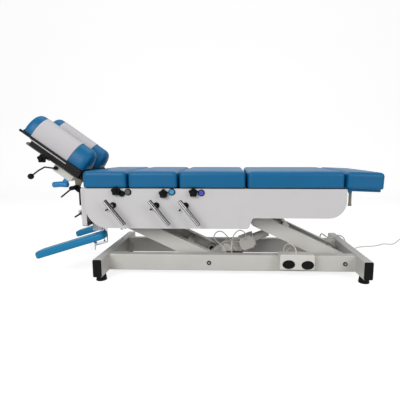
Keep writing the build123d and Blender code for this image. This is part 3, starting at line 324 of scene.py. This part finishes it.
def weld_and_split(thing, angle=38):
    """Weld loose triangles into one skin, shade it smooth and split it at edges sharper than the angle."""
    weld = thing.modifiers.new("weld", "WELD")
    weld.merge_threshold = 0.00002
    split = thing.modifiers.new("split", "EDGE_SPLIT")
    split.split_angle = radians(angle)
    thing.data.polygons.foreach_set("use_smooth", np.full(len(thing.data.polygons), True))


slot_of = {entry["node"]: entry["material_slot"] for entry in frame["record"]["subparts"]}
for name, thing in nodes.items():
    key = slot_of[name]
    if key in paint:
        thing.data.materials.clear()
        thing.data.materials.append(paint[key])
    weld_and_split(thing)
print("finishes given to", len(nodes), "solids")


# %% [markdown]
# Some solids carry two finishes on the real table: the box under the head plate is white, and two plugs in
# the panel are painted over. The faces are chosen by where their middles lie, so the shapes stay as they
# were drawn. The clamp levers and the lower pivot pins are black all over.

# %% Two-coloured solids
def centres(thing):
    """Middle of every face of an object, in metres."""
    flat = np.empty(len(thing.data.polygons) * 3)
    thing.data.polygons.foreach_get("center", flat)
    return flat.reshape(-1, 3)


def repaint(node, material, where):
    """Give the faces whose middles pass the test a second material of the same solid."""
    thing = nodes[node]
    chosen = where(centres(thing))
    index = np.empty(len(chosen), dtype=np.int32)
    thing.data.polygons.foreach_get("material_index", index)
    thing.data.materials.append(material)
    index[chosen] = len(thing.data.materials) - 1
    thing.data.polygons.foreach_set("material_index", index)
    print(node, "repainted faces:", int(chosen.sum()))


def near_axis(points, x, z, radius):
    """Faces within a radius of a line across the table at (x, z)."""
    return np.hypot(points[:, 0] - x, points[:, 2] - z) < radius


def whole(node, material):
    """One material for a whole solid, other than its slot's."""
    nodes[node].data.materials.clear()
    nodes[node].data.materials.append(material)


whole("tilt_clamp_lever", paint["black_plastic"])
whole("post_clamp_lever", paint["black_plastic"])
whole("arm_pivot_pins", paint["black_plastic"])
for x, z in ((0.0706, 0.4945), (0.5354, 0.496)):
    repaint("panel_bushes", paint["white_enamel"], lambda p, x=x, z=z: near_axis(p, x, z, 0.016))
lean = radians(35.5)
head_u = np.array([-cos(lean), 0, sin(lean)])
head_w = np.array([sin(lean), 0, cos(lean)])
head_origin = np.array([-0.707, 0, 0.510])
repaint("head_plate", paint["white_plastic"],
        lambda p: ((p - head_origin) @ head_w < 0.0358) & (np.abs(p[:, 1]) < 0.1003)
        & ((p - head_origin) @ head_u > 0.06))

# %% [markdown]
# Upholstery
#
# The cushions are foam blocks in coated cloth, pulled tight over the edges. A rounded box is a simple
# formula: take a point of a fine box grid, clamp it to a smaller inner box, and put it one radius away from
# that clamped point. The top is then crowned by a few millimetres and the sides are pulled in a little.

# %% Vinyl
def vinyl(name, colour):
    """Coated upholstery cloth: a fine leather grain from distorted cells, a slow change of colour and a low,
    broad gloss."""
    material = finish(name, colour, 0.42, vary=0.06, vary_scale=5, grain_scale=1400, grain=0.18,
                      grain_mm=0.25, rough_vary=0.05, shine=0.3)
    tree = material.node_tree
    shader = tree.nodes["Principled BSDF"]
    bump = next(n for n in tree.nodes if n.type == "BUMP")
    mapping = next(n for n in tree.nodes if n.type == "MAPPING")
    cells = tree.nodes.new("ShaderNodeTexVoronoi")
    cells.feature = "DISTANCE_TO_EDGE"
    cells.inputs["Scale"].default_value = 620
    tree.links.new(mapping.outputs[0], cells.inputs["Vector"])
    grain = tree.nodes.new("ShaderNodeBump")
    grain.inputs["Strength"].default_value = 0.22
    grain.inputs["Distance"].default_value = 0.0002
    tree.links.new(cells.outputs["Distance"], grain.inputs["Height"])
    tree.links.new(bump.outputs["Normal"], grain.inputs["Normal"])
    tree.links.new(grain.outputs["Normal"], shader.inputs["Normal"])
    return material


blue = vinyl("blue vinyl", linear(0, 99, 147))
bright_blue = vinyl("brighter blue vinyl", linear(14, 124, 172))


# %% [markdown]
# A padded block could be stitched from panels or moulded. A formula is quicker and exact: it starts from a
# box cut into small squares, and moves each point onto rounded corners.

# %% Rounded box
def box_grid(half, step):
    """Points and faces of a closed box surface cut into squares about one step wide. Each side is a grid, and
    points that coincide on the edges are merged by their rounded position."""
    points, faces, start = [], [], 0
    for axis in range(3):
        a, b = (axis + 1) % 3, (axis + 2) % 3
        na = max(2, int(round(2 * half[a] / step)) + 1)
        nb = max(2, int(round(2 * half[b] / step)) + 1)
        along_a = np.linspace(-half[a], half[a], na)
        along_b = np.linspace(-half[b], half[b], nb)
        ga, gb = np.meshgrid(along_a, along_b, indexing="ij")
        index = np.arange(na * nb).reshape(na, nb)
        quad = np.stack([index[:-1, :-1], index[1:, :-1], index[1:, 1:], index[:-1, 1:]], axis=-1)
        quad = quad.reshape(-1, 4)
        for side in (-1, 1):
            block = np.empty((na * nb, 3))
            block[:, a], block[:, b], block[:, axis] = ga.ravel(), gb.ravel(), side * half[axis]
            points.append(block)
            faces.append((quad if side > 0 else quad[:, ::-1]) + start)
            start += len(block)
    points, faces = np.concatenate(points), np.concatenate(faces)
    _, first, same = np.unique(np.round(points, 6), axis=0, return_index=True, return_inverse=True)
    return points[first], same.reshape(-1)[faces]


def rounded(points, half, plan_radius, top_radius, low_radius):
    """Box rounded twice. In plan, the part of a point beyond the inner rectangle becomes a direction n and a
    distance rho (its largest component), so the outline is an arc. Then the corner of (rho, z) is rounded the
    same way, with one radius above and another below."""
    inner = np.maximum(np.array(half[:2]) - plan_radius, 1e-4)
    clamped = np.clip(points[:, :2], -inner, inner)
    beyond = points[:, :2] - clamped
    rho = np.abs(beyond).max(axis=1)
    n = beyond / np.maximum(np.linalg.norm(beyond, axis=1, keepdims=True), 1e-9)
    z = points[:, 2]
    radius = np.where(z > 0, top_radius, low_radius)
    a = np.maximum(rho - (plan_radius - radius), 0)
    b = np.maximum(np.abs(z) - (half[2] - radius), 0)
    reach = np.maximum(a, b) / np.maximum(np.hypot(a, b), 1e-9)
    rho = np.where(a > 0, plan_radius - radius + a * reach, rho)
    height = np.where(b > 0, half[2] - radius + b * reach, np.abs(z)) * np.sign(z)
    return np.column_stack([clamped + n * rho[:, None], height])


# %% [markdown]
# The five cushions of the table top differ mainly in length, so one function makes them all. The foot
# cushion slopes down by two degrees.

# %% Section cushions
def cushion_points(half, step, plan_radius, top_radius, low_radius, crown, pull):
    """Rounded box with a crown: z grows by crown (1 - (x/a)^2)(1 - (y/b)^2) above the middle, and the sides
    draw in by pull at the middle height of each side, away from the corners."""
    grid, faces = box_grid(half, step)
    p = rounded(grid, half, plan_radius, top_radius, low_radius)
    u, v, w = (p / np.array(half)).T
    p[:, 2] += crown * np.clip(1 - u**2, 0, 1) * np.clip(1 - v**2, 0, 1) * np.clip(w, 0, 1)
    waist = pull * np.clip(1 - w**2, 0, 1)
    p[:, 0] -= waist * np.sign(u) * np.clip(np.abs(u) - 0.8, 0, 1) / 0.2 * (1 - np.abs(v) ** 6)
    p[:, 1] -= waist * np.sign(v) * np.clip(np.abs(v) - 0.8, 0, 1) / 0.2 * (1 - np.abs(u) ** 6)
    return p, faces


def mesh_of(name, points, faces):
    """Mesh from arrays of points and four-sided faces, pointing outward."""
    mesh = bpy.data.meshes.new(name)
    mesh.from_pydata(points.tolist(), [], faces.tolist())
    mesh.update()
    return outward(mesh)


def turned(points, origin, x_dir, z_dir):
    """Points given along a tilted frame, in the table's frame: origin + x x_dir + y (z_dir cross x_dir)
    + z z_dir."""
    x_dir, z_dir = np.array(x_dir, float), np.array(z_dir, float)
    return np.array(origin) + points @ np.stack([x_dir, np.cross(z_dir, x_dir), z_dir])


sections = {"chest_cushion": "chest_section", "lumbar_cushion": "lumbar_section",
            "pelvic_cushion": "pelvic_section", "leg_cushion": "upper_frame"}
for node, body in sections.items():
    low, high = (np.array(c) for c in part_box(node))
    half = (high - low) / 2
    p, faces = cushion_points(half, 0.009, 0.022, 0.0215, 0.008, 0.0035, 0.0015)
    p += (low + high) / 2
    thing = piece(node + "_cover", mesh_of(node, p, faces), blue, body, (node,))
print("cushion corners", len(p))

tilt = radians(2)
foot_half = np.array([(0.999 - 0.8) / cos(tilt) - 0.003, 0.56, 0.0894]) / 2
p, faces = cushion_points(foot_half, 0.009, 0.022, 0.0215, 0.008, 0.003, 0.0015)
p = turned(p + [foot_half[0], 0, foot_half[2]], (0.8, 0, 0.5206), (cos(tilt), 0, -sin(tilt)),
           (sin(tilt), 0, cos(tilt)))
thing = piece("foot_cushion_cover", mesh_of("foot_cushion", p, faces), blue, "foot_section",
              ("foot_cushion",))

# %% [markdown]
# The armrests are thin padded boards with round tips, sloping down from the table. They use the same rounded
# box, laid into a tilted frame.

# %% Armrest pads
slope = radians(17.2)
pad_half = np.array([0.395 / cos(slope), 0.1, 0.04]) / 2
for side, name in ((-1, "near"), (1, "far")):
    p, faces = cushion_points(pad_half, 0.005, 0.034, 0.0165, 0.009, 0.0015, 0.0)
    middle = (-0.7095, side * 0.24, 0.197 + (-0.7095 + 0.707) * tan(slope))
    p = turned(p, middle, (cos(slope), 0, sin(slope)), (-sin(slope), 0, cos(slope)))
    thing = piece(name + "_armrest_cover", mesh_of(name + "_arm_pad", p, faces), bright_blue,
                  name + "_armrest", (name + "_arm_pad",))
print("armrest pads made")

# %% [markdown]
# Head section
#
# The head section has its own tilted frame: u runs to the head end along the pad, w rises from it, and y
# stays across the table. The two bolsters are half ellipses carried along u, closed by rounded ends.

# %% Tilted frame
def head_frame(u, y, w):
    """Points of the head section: origin + u along the pad + w above it, at depth y."""
    u, y, w = np.broadcast_arrays(u, y, w)
    return head_origin + u[..., None] * head_u + w[..., None] * head_w + y[..., None] * np.array([0, 1.0, 0])


# %% [markdown]
# The bolsters hold the head from both sides. Each has a straight skirt and a round top, and its ends are
# drawn in like a bread roll, which is how a sewn cover pulls over foam.

# %% Bolsters
def dome_section(count, half_width, rise, base, spring):
    """Outline of a bolster across the head, from one lower edge over the top to the other: a straight skirt
    from base to spring, then a half ellipse, then a flat underside."""
    skirt = 4
    t = np.linspace(0, pi, count)
    across = np.concatenate([np.full(skirt, half_width), half_width * np.cos(t), np.full(skirt, -half_width),
                             np.linspace(-half_width, half_width, 14)[1:-1]])
    up = np.concatenate([np.linspace(base, spring, skirt, endpoint=False), spring + rise * np.sin(t),
                         np.linspace(spring, base, skirt + 1)[1:], np.full(12, base)])
    return across, up


def bolster(side, low_u, high_u, edge, flat, bulge):
    """Grid of one bolster. Near an end at distance e the section shrinks towards its foot line by
    flat + (1 - flat) sqrt(1 - (1 - e / edge)^2); the end itself is rings that shrink to its middle
    and bulge out."""
    across, up = dome_section(48, 0.070, 0.110, 0.105, 0.112)
    e = edge * (1 - np.cos(np.linspace(0, pi / 2, 10)))
    shrink = flat + (1 - flat) * np.sqrt(1 - (1 - e / edge) ** 2)
    u = np.concatenate([low_u + bulge + e, np.linspace(low_u + bulge + edge, high_u - bulge - edge, 28)[1:-1],
                        (high_u - bulge - e)[::-1]])
    f = np.concatenate([shrink, np.ones(26), shrink[::-1]])
    rows_y = side * 0.100 + across[None, :] * f[:, None]
    rows_w = 0.105 + (up[None, :] - 0.105) * f[:, None]
    rows_u = np.broadcast_to(u[:, None], rows_y.shape)
    q = np.linspace(1, 0, 8)[1:-1, None]
    caps = []
    for row, out in ((0, -1), (-1, 1)):
        y_mid, w_mid = rows_y[row].mean(), rows_w[row].mean()
        caps.append((rows_u[row][None, :] + out * bulge * (1 - q**2), y_mid + (rows_y[row] - y_mid) * q,
                     w_mid + (rows_w[row] - w_mid) * q))
    first, last = caps
    return [np.concatenate([a[::-1], b, c]) for a, b, c in zip(first, (rows_u, rows_y, rows_w), last)]


for side, name in ((-1, "near"), (1, "far")):
    u, y, w = bolster(side, 0.014, 0.422, 0.034, 0.72, 0.005)
    mesh = outward(grid_mesh(name + "_bolster", head_frame(u, y, w), around=True, caps=True))
    thing = piece(name + "_bolster", mesh, blue, "head_slide", ("head_cushions",))
print("bolsters made")

# %% [markdown]
# A band of crepe paper is pulled over both bolsters and dips between them. It is one sheet: its section
# follows each dome a little over a millimetre outside the vinyl, and bridges the slot. Faint creases run
# across it.

# %% Paper band
crepe = finish("crepe paper", linear(196, 193, 196), 0.8, vary=0.04, shine=0.2, grain=0.5, grain_scale=160,
               grain_mm=0.6)


def paper_section(count):
    """Across and up coordinates of the band: near dome from its foot to the dip, shallow bridge, far dome."""
    lift = 0.0012
    leave = 0.28 * pi * 0.62
    t = np.linspace(pi, leave, count)
    near_y = -0.100 + (0.070 + lift) * np.cos(t)
    near_w = 0.112 + (0.110 + lift) * np.sin(t)
    skirt_y = np.full(3, near_y[0])
    skirt_w = np.linspace(0.100, 0.110, 3)
    bridge = np.linspace(0, 1, 9)[1:-1]
    mid_y = near_y[-1] + (-near_y[-1] - near_y[-1]) * bridge
    mid_w = near_w[-1] - 0.006 * np.sin(pi * bridge)
    y = np.concatenate([skirt_y, near_y, mid_y, -near_y[::-1], -skirt_y])
    w = np.concatenate([skirt_w, near_w, mid_w, near_w[::-1], skirt_w[::-1]])
    return y, w


band_y, band_w = paper_section(40)
band_u = np.linspace(0.1185, 0.3595, 60)
creases = np.sin(band_u[:, None] * 210 + 3 * np.sin(band_y[None, :] * 40))
ripple = 0.0004 * creases * np.sin(band_u[:, None] * 47)
p = head_frame(band_u[:, None], band_y[None, :] * (1 + ripple * 2), band_w[None, :] + ripple)
paper = piece("head_paper_band", grid_mesh("head_paper_band", p), crepe, "head_slide", ("head_paper",))
thick = paper.modifiers.new("sheet", "SOLIDIFY")
thick.thickness = 0.0004

# %% [markdown]
# A white toothed strip runs along the lower near edge of the head board. It holds the paper's edge when the
# sheet is torn off. It is a thin plate with a saw-tooth lower edge, screwed under the board.

# %% Toothed strip
def toothed_strip(start, end, teeth, y, top, depth, thick):
    """Closed plate: a saw-tooth outline in the (u, w) plane, given a thickness along y."""
    u = np.linspace(start, end, 2 * teeth + 1)
    low = top - depth + 0.0022 * (np.arange(len(u)) % 2)
    near, far, high = np.full(len(u), y), np.full(len(u), y + thick), np.full(len(u), top)
    ring = np.stack([[u, near, high], [u, near, low], [u, far, low], [u, far, high]])
    u, y, w = ring.transpose(1, 2, 0)
    return head_frame(u, y, w)


strip = toothed_strip(0.118, 0.360, 40, -0.1645, 0.0918, 0.013, 0.0016)
mesh = outward(grid_mesh("paper_strip", strip, around=True, caps=True))
piece("paper_strip", mesh, paint["white_enamel"], "head_slide", smooth=False)
print("strip teeth: 40")

# %% [markdown]
# Cocking levers
#
# Each lever ends in a chromed bar with turned rings on its lower two thirds. Here a thin sleeve is laid over
# the bar: a circle carried along the bar, with its radius cut by a groove every five millimetres.

# %% Lever sleeves
def chrome_with_painted_reflections():
    """Chrome with painted reflections: its base colour changes around the bar in light and dark bands,
    painted to stand in for the dark and light surroundings that meet in it. The first coordinate of the
    sleeve's own map is the turn around the bar."""
    material = finish("chrome with painted reflection bands", linear(235, 235, 238), 0.16, metal=0.9, vary=0.02, grain=0.02)
    tree = material.node_tree
    shader = tree.nodes["Principled BSDF"]
    around = tree.nodes.new("ShaderNodeUVMap")
    split = tree.nodes.new("ShaderNodeSeparateXYZ")
    tree.links.new(around.outputs["UV"], split.inputs[0])
    ramp = tree.nodes.new("ShaderNodeValToRGB")
    # The stops are painted reflection bands: bright and dark tones around the bar in place of the
    # surroundings mirrored by the chrome.
    stops = [(0.0, 0.3), (0.03, 0.85), (0.06, 0.85), (0.085, 0.01), (0.13, 0.01), (0.17, 0.3), (0.23, 0.01),
             (0.5, 0.3), (0.75, 0.01), (0.84, 0.01), (0.88, 0.25), (0.92, 0.5), (0.945, 0.01), (1.0, 0.03)]
    while len(ramp.color_ramp.elements) < len(stops):
        ramp.color_ramp.elements.new(0.5)
    for element, (at, tone) in zip(ramp.color_ramp.elements, stops):
        element.position = at
        element.color = (tone, tone, tone * 1.02, 1)
    tree.links.new(split.outputs["X"], ramp.inputs["Fac"])
    tree.links.new(ramp.outputs["Color"], shader.inputs["Base Color"])
    return material


def sleeve(start, direction, length, radius, pitch, depth, ringed_from):
    """Grid of rings along the bar. Radius = radius - depth * (groove shape of period pitch) beyond
    ringed_from, and both ends draw in with a rounded edge."""
    s = np.linspace(0, length, 331)
    wave = 0.5 - 0.5 * np.cos(2 * pi * s / pitch)
    r = radius - depth * np.clip(wave * 2 - 1, 0, 1) * (s > ringed_from)
    tip = 0.003
    edge = np.clip(np.minimum(s, length - s) / tip, 0, 1)
    r = (r - tip) + tip * np.sqrt(1 - (1 - edge) ** 2)
    angle = np.linspace(0, 2 * pi, 49)
    toward = np.array([0, -1.0, 0])
    side = np.cross(np.array(direction), toward)
    ring = np.cos(angle)[:, None] * toward + np.sin(angle)[:, None] * side
    points = np.array(start) + s[:, None, None] * np.array(direction) + r[:, None, None] * ring[None]
    return points, s, angle


def mapped_tube(name, points, s, angle):
    """Tube mesh with a map: first coordinate around, second along. The seam column stays double for
    the map."""
    mesh = grid_mesh(name, points, caps=False)
    layer = mesh.uv_layers.new(name="around")
    loops = np.empty(len(mesh.loops), dtype=np.int32)
    mesh.loops.foreach_get("vertex_index", loops)
    row, column = loops // len(angle), loops % len(angle)
    layer.data.foreach_set("uv", np.column_stack([angle[column] / (2 * pi), s[row]]).ravel())
    return outward(mesh)


# The grips get chrome with painted reflection bands around the bar.
chrome_bar = chrome_with_painted_reflections()
down = (cos(radians(52)), 0, -sin(radians(52)))
grip_length, grip_radius, plain_length = 0.167, 0.0112, 0.055
ring_pitch, groove_depth = 0.005, 0.0010
for name, x in (("chest", -0.452), ("lumbar", -0.2155), ("pelvic", -0.0566)):
    start = np.array([x, -0.328, 0.425]) - 0.0425 * np.array(down)
    points, s, angle = sleeve(start, down, grip_length, grip_radius, ring_pitch, groove_depth, plain_length)
    piece(name + "_lever_grip", mapped_tube(name + "_lever_grip", points, s, angle), chrome_bar,
          name + "_cocking_lever")
print("rings on each grip:", int((grip_length - plain_length) / ring_pitch))

# %% [markdown]
# Cords
#
# A cord is one smooth spline through the air: its control points are where it leaves, hangs and rests. The
# mains lead leaves its gland, climbs over the rail and the crossbeam, crosses the floor and ends in a wound
# coil.

# %% Splines
def spline(name, route, radius, material, body, replaced=()):
    """Round cord with these control points, in metres."""
    data = bpy.data.curves.new(name, "CURVE")
    data.dimensions = "3D"
    data.resolution_u = 8
    line = data.splines.new("NURBS")
    line.points.add(len(route) - 1)
    line.points.foreach_set("co", np.column_stack([route, np.ones(len(route))]).ravel())
    line.order_u = 3
    line.use_endpoint_u = True
    data.materials.append(material)
    thing = bpy.data.objects.new(name, data)
    scene.collection.objects.link(thing)
    centre = bpy.data.meshes.new_from_object(thing)
    flat = np.empty(len(centre.vertices) * 3)
    centre.vertices.foreach_get("co", flat)
    line_points = flat.reshape(-1, 3)
    bpy.data.meshes.remove(centre)
    data.bevel_depth = radius
    data.bevel_resolution = 6
    data.use_fill_caps = True
    if body:
        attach(thing, body)
    if replaced:
        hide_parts(*replaced)
    length = float(np.linalg.norm(np.diff(line_points, axis=0), axis=1).sum())
    print(name, round(length, 3), "m")
    return thing, line_points, length


cable = paint["cord_sheath"]

# %% [markdown]
# The lead lies in loose curves on the floor, as a lead does after it was unrolled. What the picture doesn't
# show is wound into a small coil in two layers, with the plug beside it.

# %% Mains lead
lead_route = [
    (0.819, 0.212, 0.090), (0.819, 0.240, 0.092), (0.821, 0.258, 0.114), (0.824, 0.248, 0.142),
    (0.828, 0.220, 0.150), (0.838, 0.193, 0.141), (0.858, 0.174, 0.1334), (0.886, 0.184, 0.1345),
    (0.908, 0.208, 0.140), (0.934, 0.220, 0.141), (0.958, 0.205, 0.138), (0.974, 0.194, 0.117),
    (0.978, 0.200, 0.088), (0.982, 0.218, 0.056), (0.994, 0.243, 0.027), (1.014, 0.268, 0.010),
    (1.056, 0.306, 0.0043), (1.118, 0.371, 0.0043), (1.186, 0.413, 0.0043), (1.262, 0.419, 0.0043),
    (1.330, 0.452, 0.0043), (1.386, 0.496, 0.0043), (1.438, 0.472, 0.0043), (1.494, 0.524, 0.0043),
    (1.540, 0.584, 0.0043), (1.596, 0.648, 0.0043), (1.658, 0.688, 0.0043), (1.722, 0.698, 0.0043),
    (1.766, 0.718, 0.0043),
]
tail_route = [(1.776, 0.738, 0.0134), (1.799, 0.750, 0.0138), (1.811, 0.773, 0.0138), (1.813, 0.799, 0.0138)]


def coil(centre, first_angle, turns, outer, spacing, low, high):
    """Flat spiral inwards on the floor, then outwards on top of it: radius = outer - spacing * turns so far,
    and back. The height changes over the quarter turn in the middle."""
    count = int(turns * 16) + 1
    t = np.linspace(0, turns, count)
    half = turns / 2
    radius = outer - spacing * np.minimum(t, turns - t)
    angle = first_angle + 2 * pi * t
    rise = np.clip((t - half + 0.12) / 0.24, 0, 1)
    z = low + (high - low) * rise * rise * (3 - 2 * rise)
    return np.column_stack([centre[0] + radius * np.cos(angle), centre[1] + radius * np.sin(angle), z])


turns = coil((1.727, 0.775), radians(-18), 4.87, 0.0545, 0.0092, 0.0043, 0.0130)
route = np.concatenate([lead_route, turns, tail_route])
lead, _, lead_length = spline("mains_cord", route, 0.004, cable, "floor_frame", ("mains_lead", "mains_coil"))

# %% [markdown]
# The foot switch hangs on the near rail. Its cable arches over the rail and runs back inside it to the
# control box.

# %% Foot switch cable
switch_route = [
    (0.554, -0.232, 0.151), (0.553, -0.230, 0.170), (0.544, -0.212, 0.187), (0.526, -0.184, 0.193),
    (0.509, -0.160, 0.183), (0.501, -0.146, 0.161), (0.498, -0.144, 0.136), (0.497, -0.133, 0.113),
    (0.508, -0.108, 0.108), (0.528, -0.090, 0.122), (0.550, -0.081, 0.139), (0.573, -0.074, 0.128),
    (0.576, -0.070, 0.100), (0.550, -0.071, 0.079), (0.500, -0.075, 0.069), (0.426, -0.084, 0.063),
    (0.366, -0.092, 0.066), (0.314, -0.100, 0.072), (0.262, -0.102, 0.074),
]
thing, _, length = spline("switch_cord", switch_route, 0.003, cable, "floor_frame", ("foot_switch_cable",))

# %% [markdown]
# Two loops go from the control box to the actuator, which swings when the table rises. They are fixed tubes
# that run from the box at one end to the actuator at the other.

# %% Actuator loops
def tube(line, radius, sides=14):
    """Rings around a line of points. The frame is carried along: each new side direction is the old one with
    its part along the line removed."""
    tangent = np.gradient(line, axis=0)
    tangent /= np.linalg.norm(tangent, axis=1, keepdims=True)
    side = np.cross(tangent[0], [0.3, 0.1, 1.0])
    angle = np.linspace(0, 2 * pi, sides, endpoint=False)
    rings = []
    for centre, along in zip(line, tangent):
        side = side - along * (side @ along)
        side /= np.linalg.norm(side)
        other = np.cross(along, side)
        rings.append(centre + radius * (np.cos(angle)[:, None] * side + np.sin(angle)[:, None] * other))
    return np.array(rings)


loops = {
    "motor_loop": [
        (0.160, -0.100, 0.110), (0.156, -0.098, 0.130), (0.136, -0.088, 0.151), (0.106, -0.072, 0.168),
        (0.084, -0.062, 0.190), (0.090, -0.058, 0.215), (0.113, -0.056, 0.233), (0.138, -0.054, 0.228),
        (0.158, -0.050, 0.208), (0.177, -0.042, 0.185), (0.193, -0.037, 0.166), (0.201, -0.030, 0.153),
        (0.201, -0.0178, 0.153),
    ],
    "sensor_loop": [
        (0.196, -0.100, 0.110), (0.195, -0.096, 0.136), (0.193, -0.084, 0.165), (0.199, -0.072, 0.195),
        (0.216, -0.066, 0.224), (0.240, -0.062, 0.241), (0.264, -0.061, 0.235), (0.279, -0.060, 0.216),
        (0.284, -0.060, 0.193), (0.283, -0.055, 0.176), (0.283, -0.0413, 0.176),
    ],
}
for name, route in loops.items():
    guide, line, length = spline(name + "_guide", route, 0.003, cable, None)
    bpy.data.objects.remove(guide)
    thing = piece(name, outward(grid_mesh(name, tube(line, 0.003), around=True, caps=True)), cable,
                  stands_for=("actuator_cables",))
    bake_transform(thing)

# %% [markdown]
# Short strands hang between the motor and the gearbox. They start and end in the gearbox's left wall, and
# their points are given along the actuator (s), across it (t) and in depth, in millimetres.

# %% Strands at the gearbox
swing = radians(21.2)


def on_actuator(s, t, y):
    """Point of the actuator's own frame, in metres from its rear pivot."""
    return (0.060 + s * cos(swing) - t * sin(swing), y, 0.0743 + s * sin(swing) + t * cos(swing))


strands = [
    [(195.8, -4, -25), (180, -2, -38), (168, 14, -50), (163, 30, -55), (160, 5, -58), (166, -22, -56),
     (180, -34, -44), (195.8, -34, -28)],
    [(195.8, 10, -31), (182, 22, -44), (170, 36, -52), (158, 28, -60), (154, 0, -60), (158, -24, -60),
     (172, -40, -50), (195.8, -44, -34)],
    [(195.8, 20, -26), (184, 30, -30), (172, 46, -38), (160, 44, -46), (153, 24, -50), (160, 8, -48),
     (176, 6, -36), (195.8, 4, -20)],
]
for number, local in enumerate(strands):
    route = [on_actuator(s / 1000, t / 1000, y / 1000) for s, t, y in local]
    thing, _, length = spline(f"strand_{number + 1}", route, 0.0022, cable, "actuator_body")
print("strands made:", len(strands))


# %% [markdown]
# Four screws hold the gearbox, and each lower pivot pin shows a bright centre. Both are low round heads, so
# one function makes them. The foot section's board shows no dark edge, so it takes its cushion's colour.

# %% Screw heads and pin centres
def stud(centre, radius, height, toward=(0, -1, 0)):
    """Low round head: three rings and a cap around a short axis, standing on a face."""
    toward = np.array(toward, float)
    side = np.cross(toward, [0.0, 0.0, 1.0])
    angle = np.linspace(0, 2 * pi, 20, endpoint=False)
    ring = np.cos(angle)[:, None] * side + np.sin(angle)[:, None] * np.cross(toward, side)
    r = np.array([1.0, 1.0, 0.8])[:, None, None] * radius
    h = np.array([-0.0005, height * 0.6, height])[:, None, None] * toward
    return np.array(centre) + r * ring[None] + h


for number, (s, t) in enumerate(((0.203, -0.043), (0.203, 0.026), (0.282, -0.043), (0.282, 0.026))):
    mesh = outward(grid_mesh(f"gearbox_screw_{number + 1}", stud(on_actuator(s, t, -0.041), 0.0042, 0.0018),
                             around=True, caps=True))
    piece(f"gearbox_screw_{number + 1}", mesh, paint["black_plastic"], "actuator_body")
for number, (x, side) in enumerate(((0.0637, -1), (0.839, -1), (0.0637, 1), (0.839, 1))):
    head = stud((x, side * 0.205, 0.0805), 0.0075, 0.0014, (0, side, 0))
    mesh = outward(grid_mesh(f"pin_centre_{number + 1}", head, around=True, caps=True))
    piece(f"pin_centre_{number + 1}", mesh, paint["zinc"], "floor_frame")
whole("foot_plate", blue)
print("screw heads and pin centres placed")
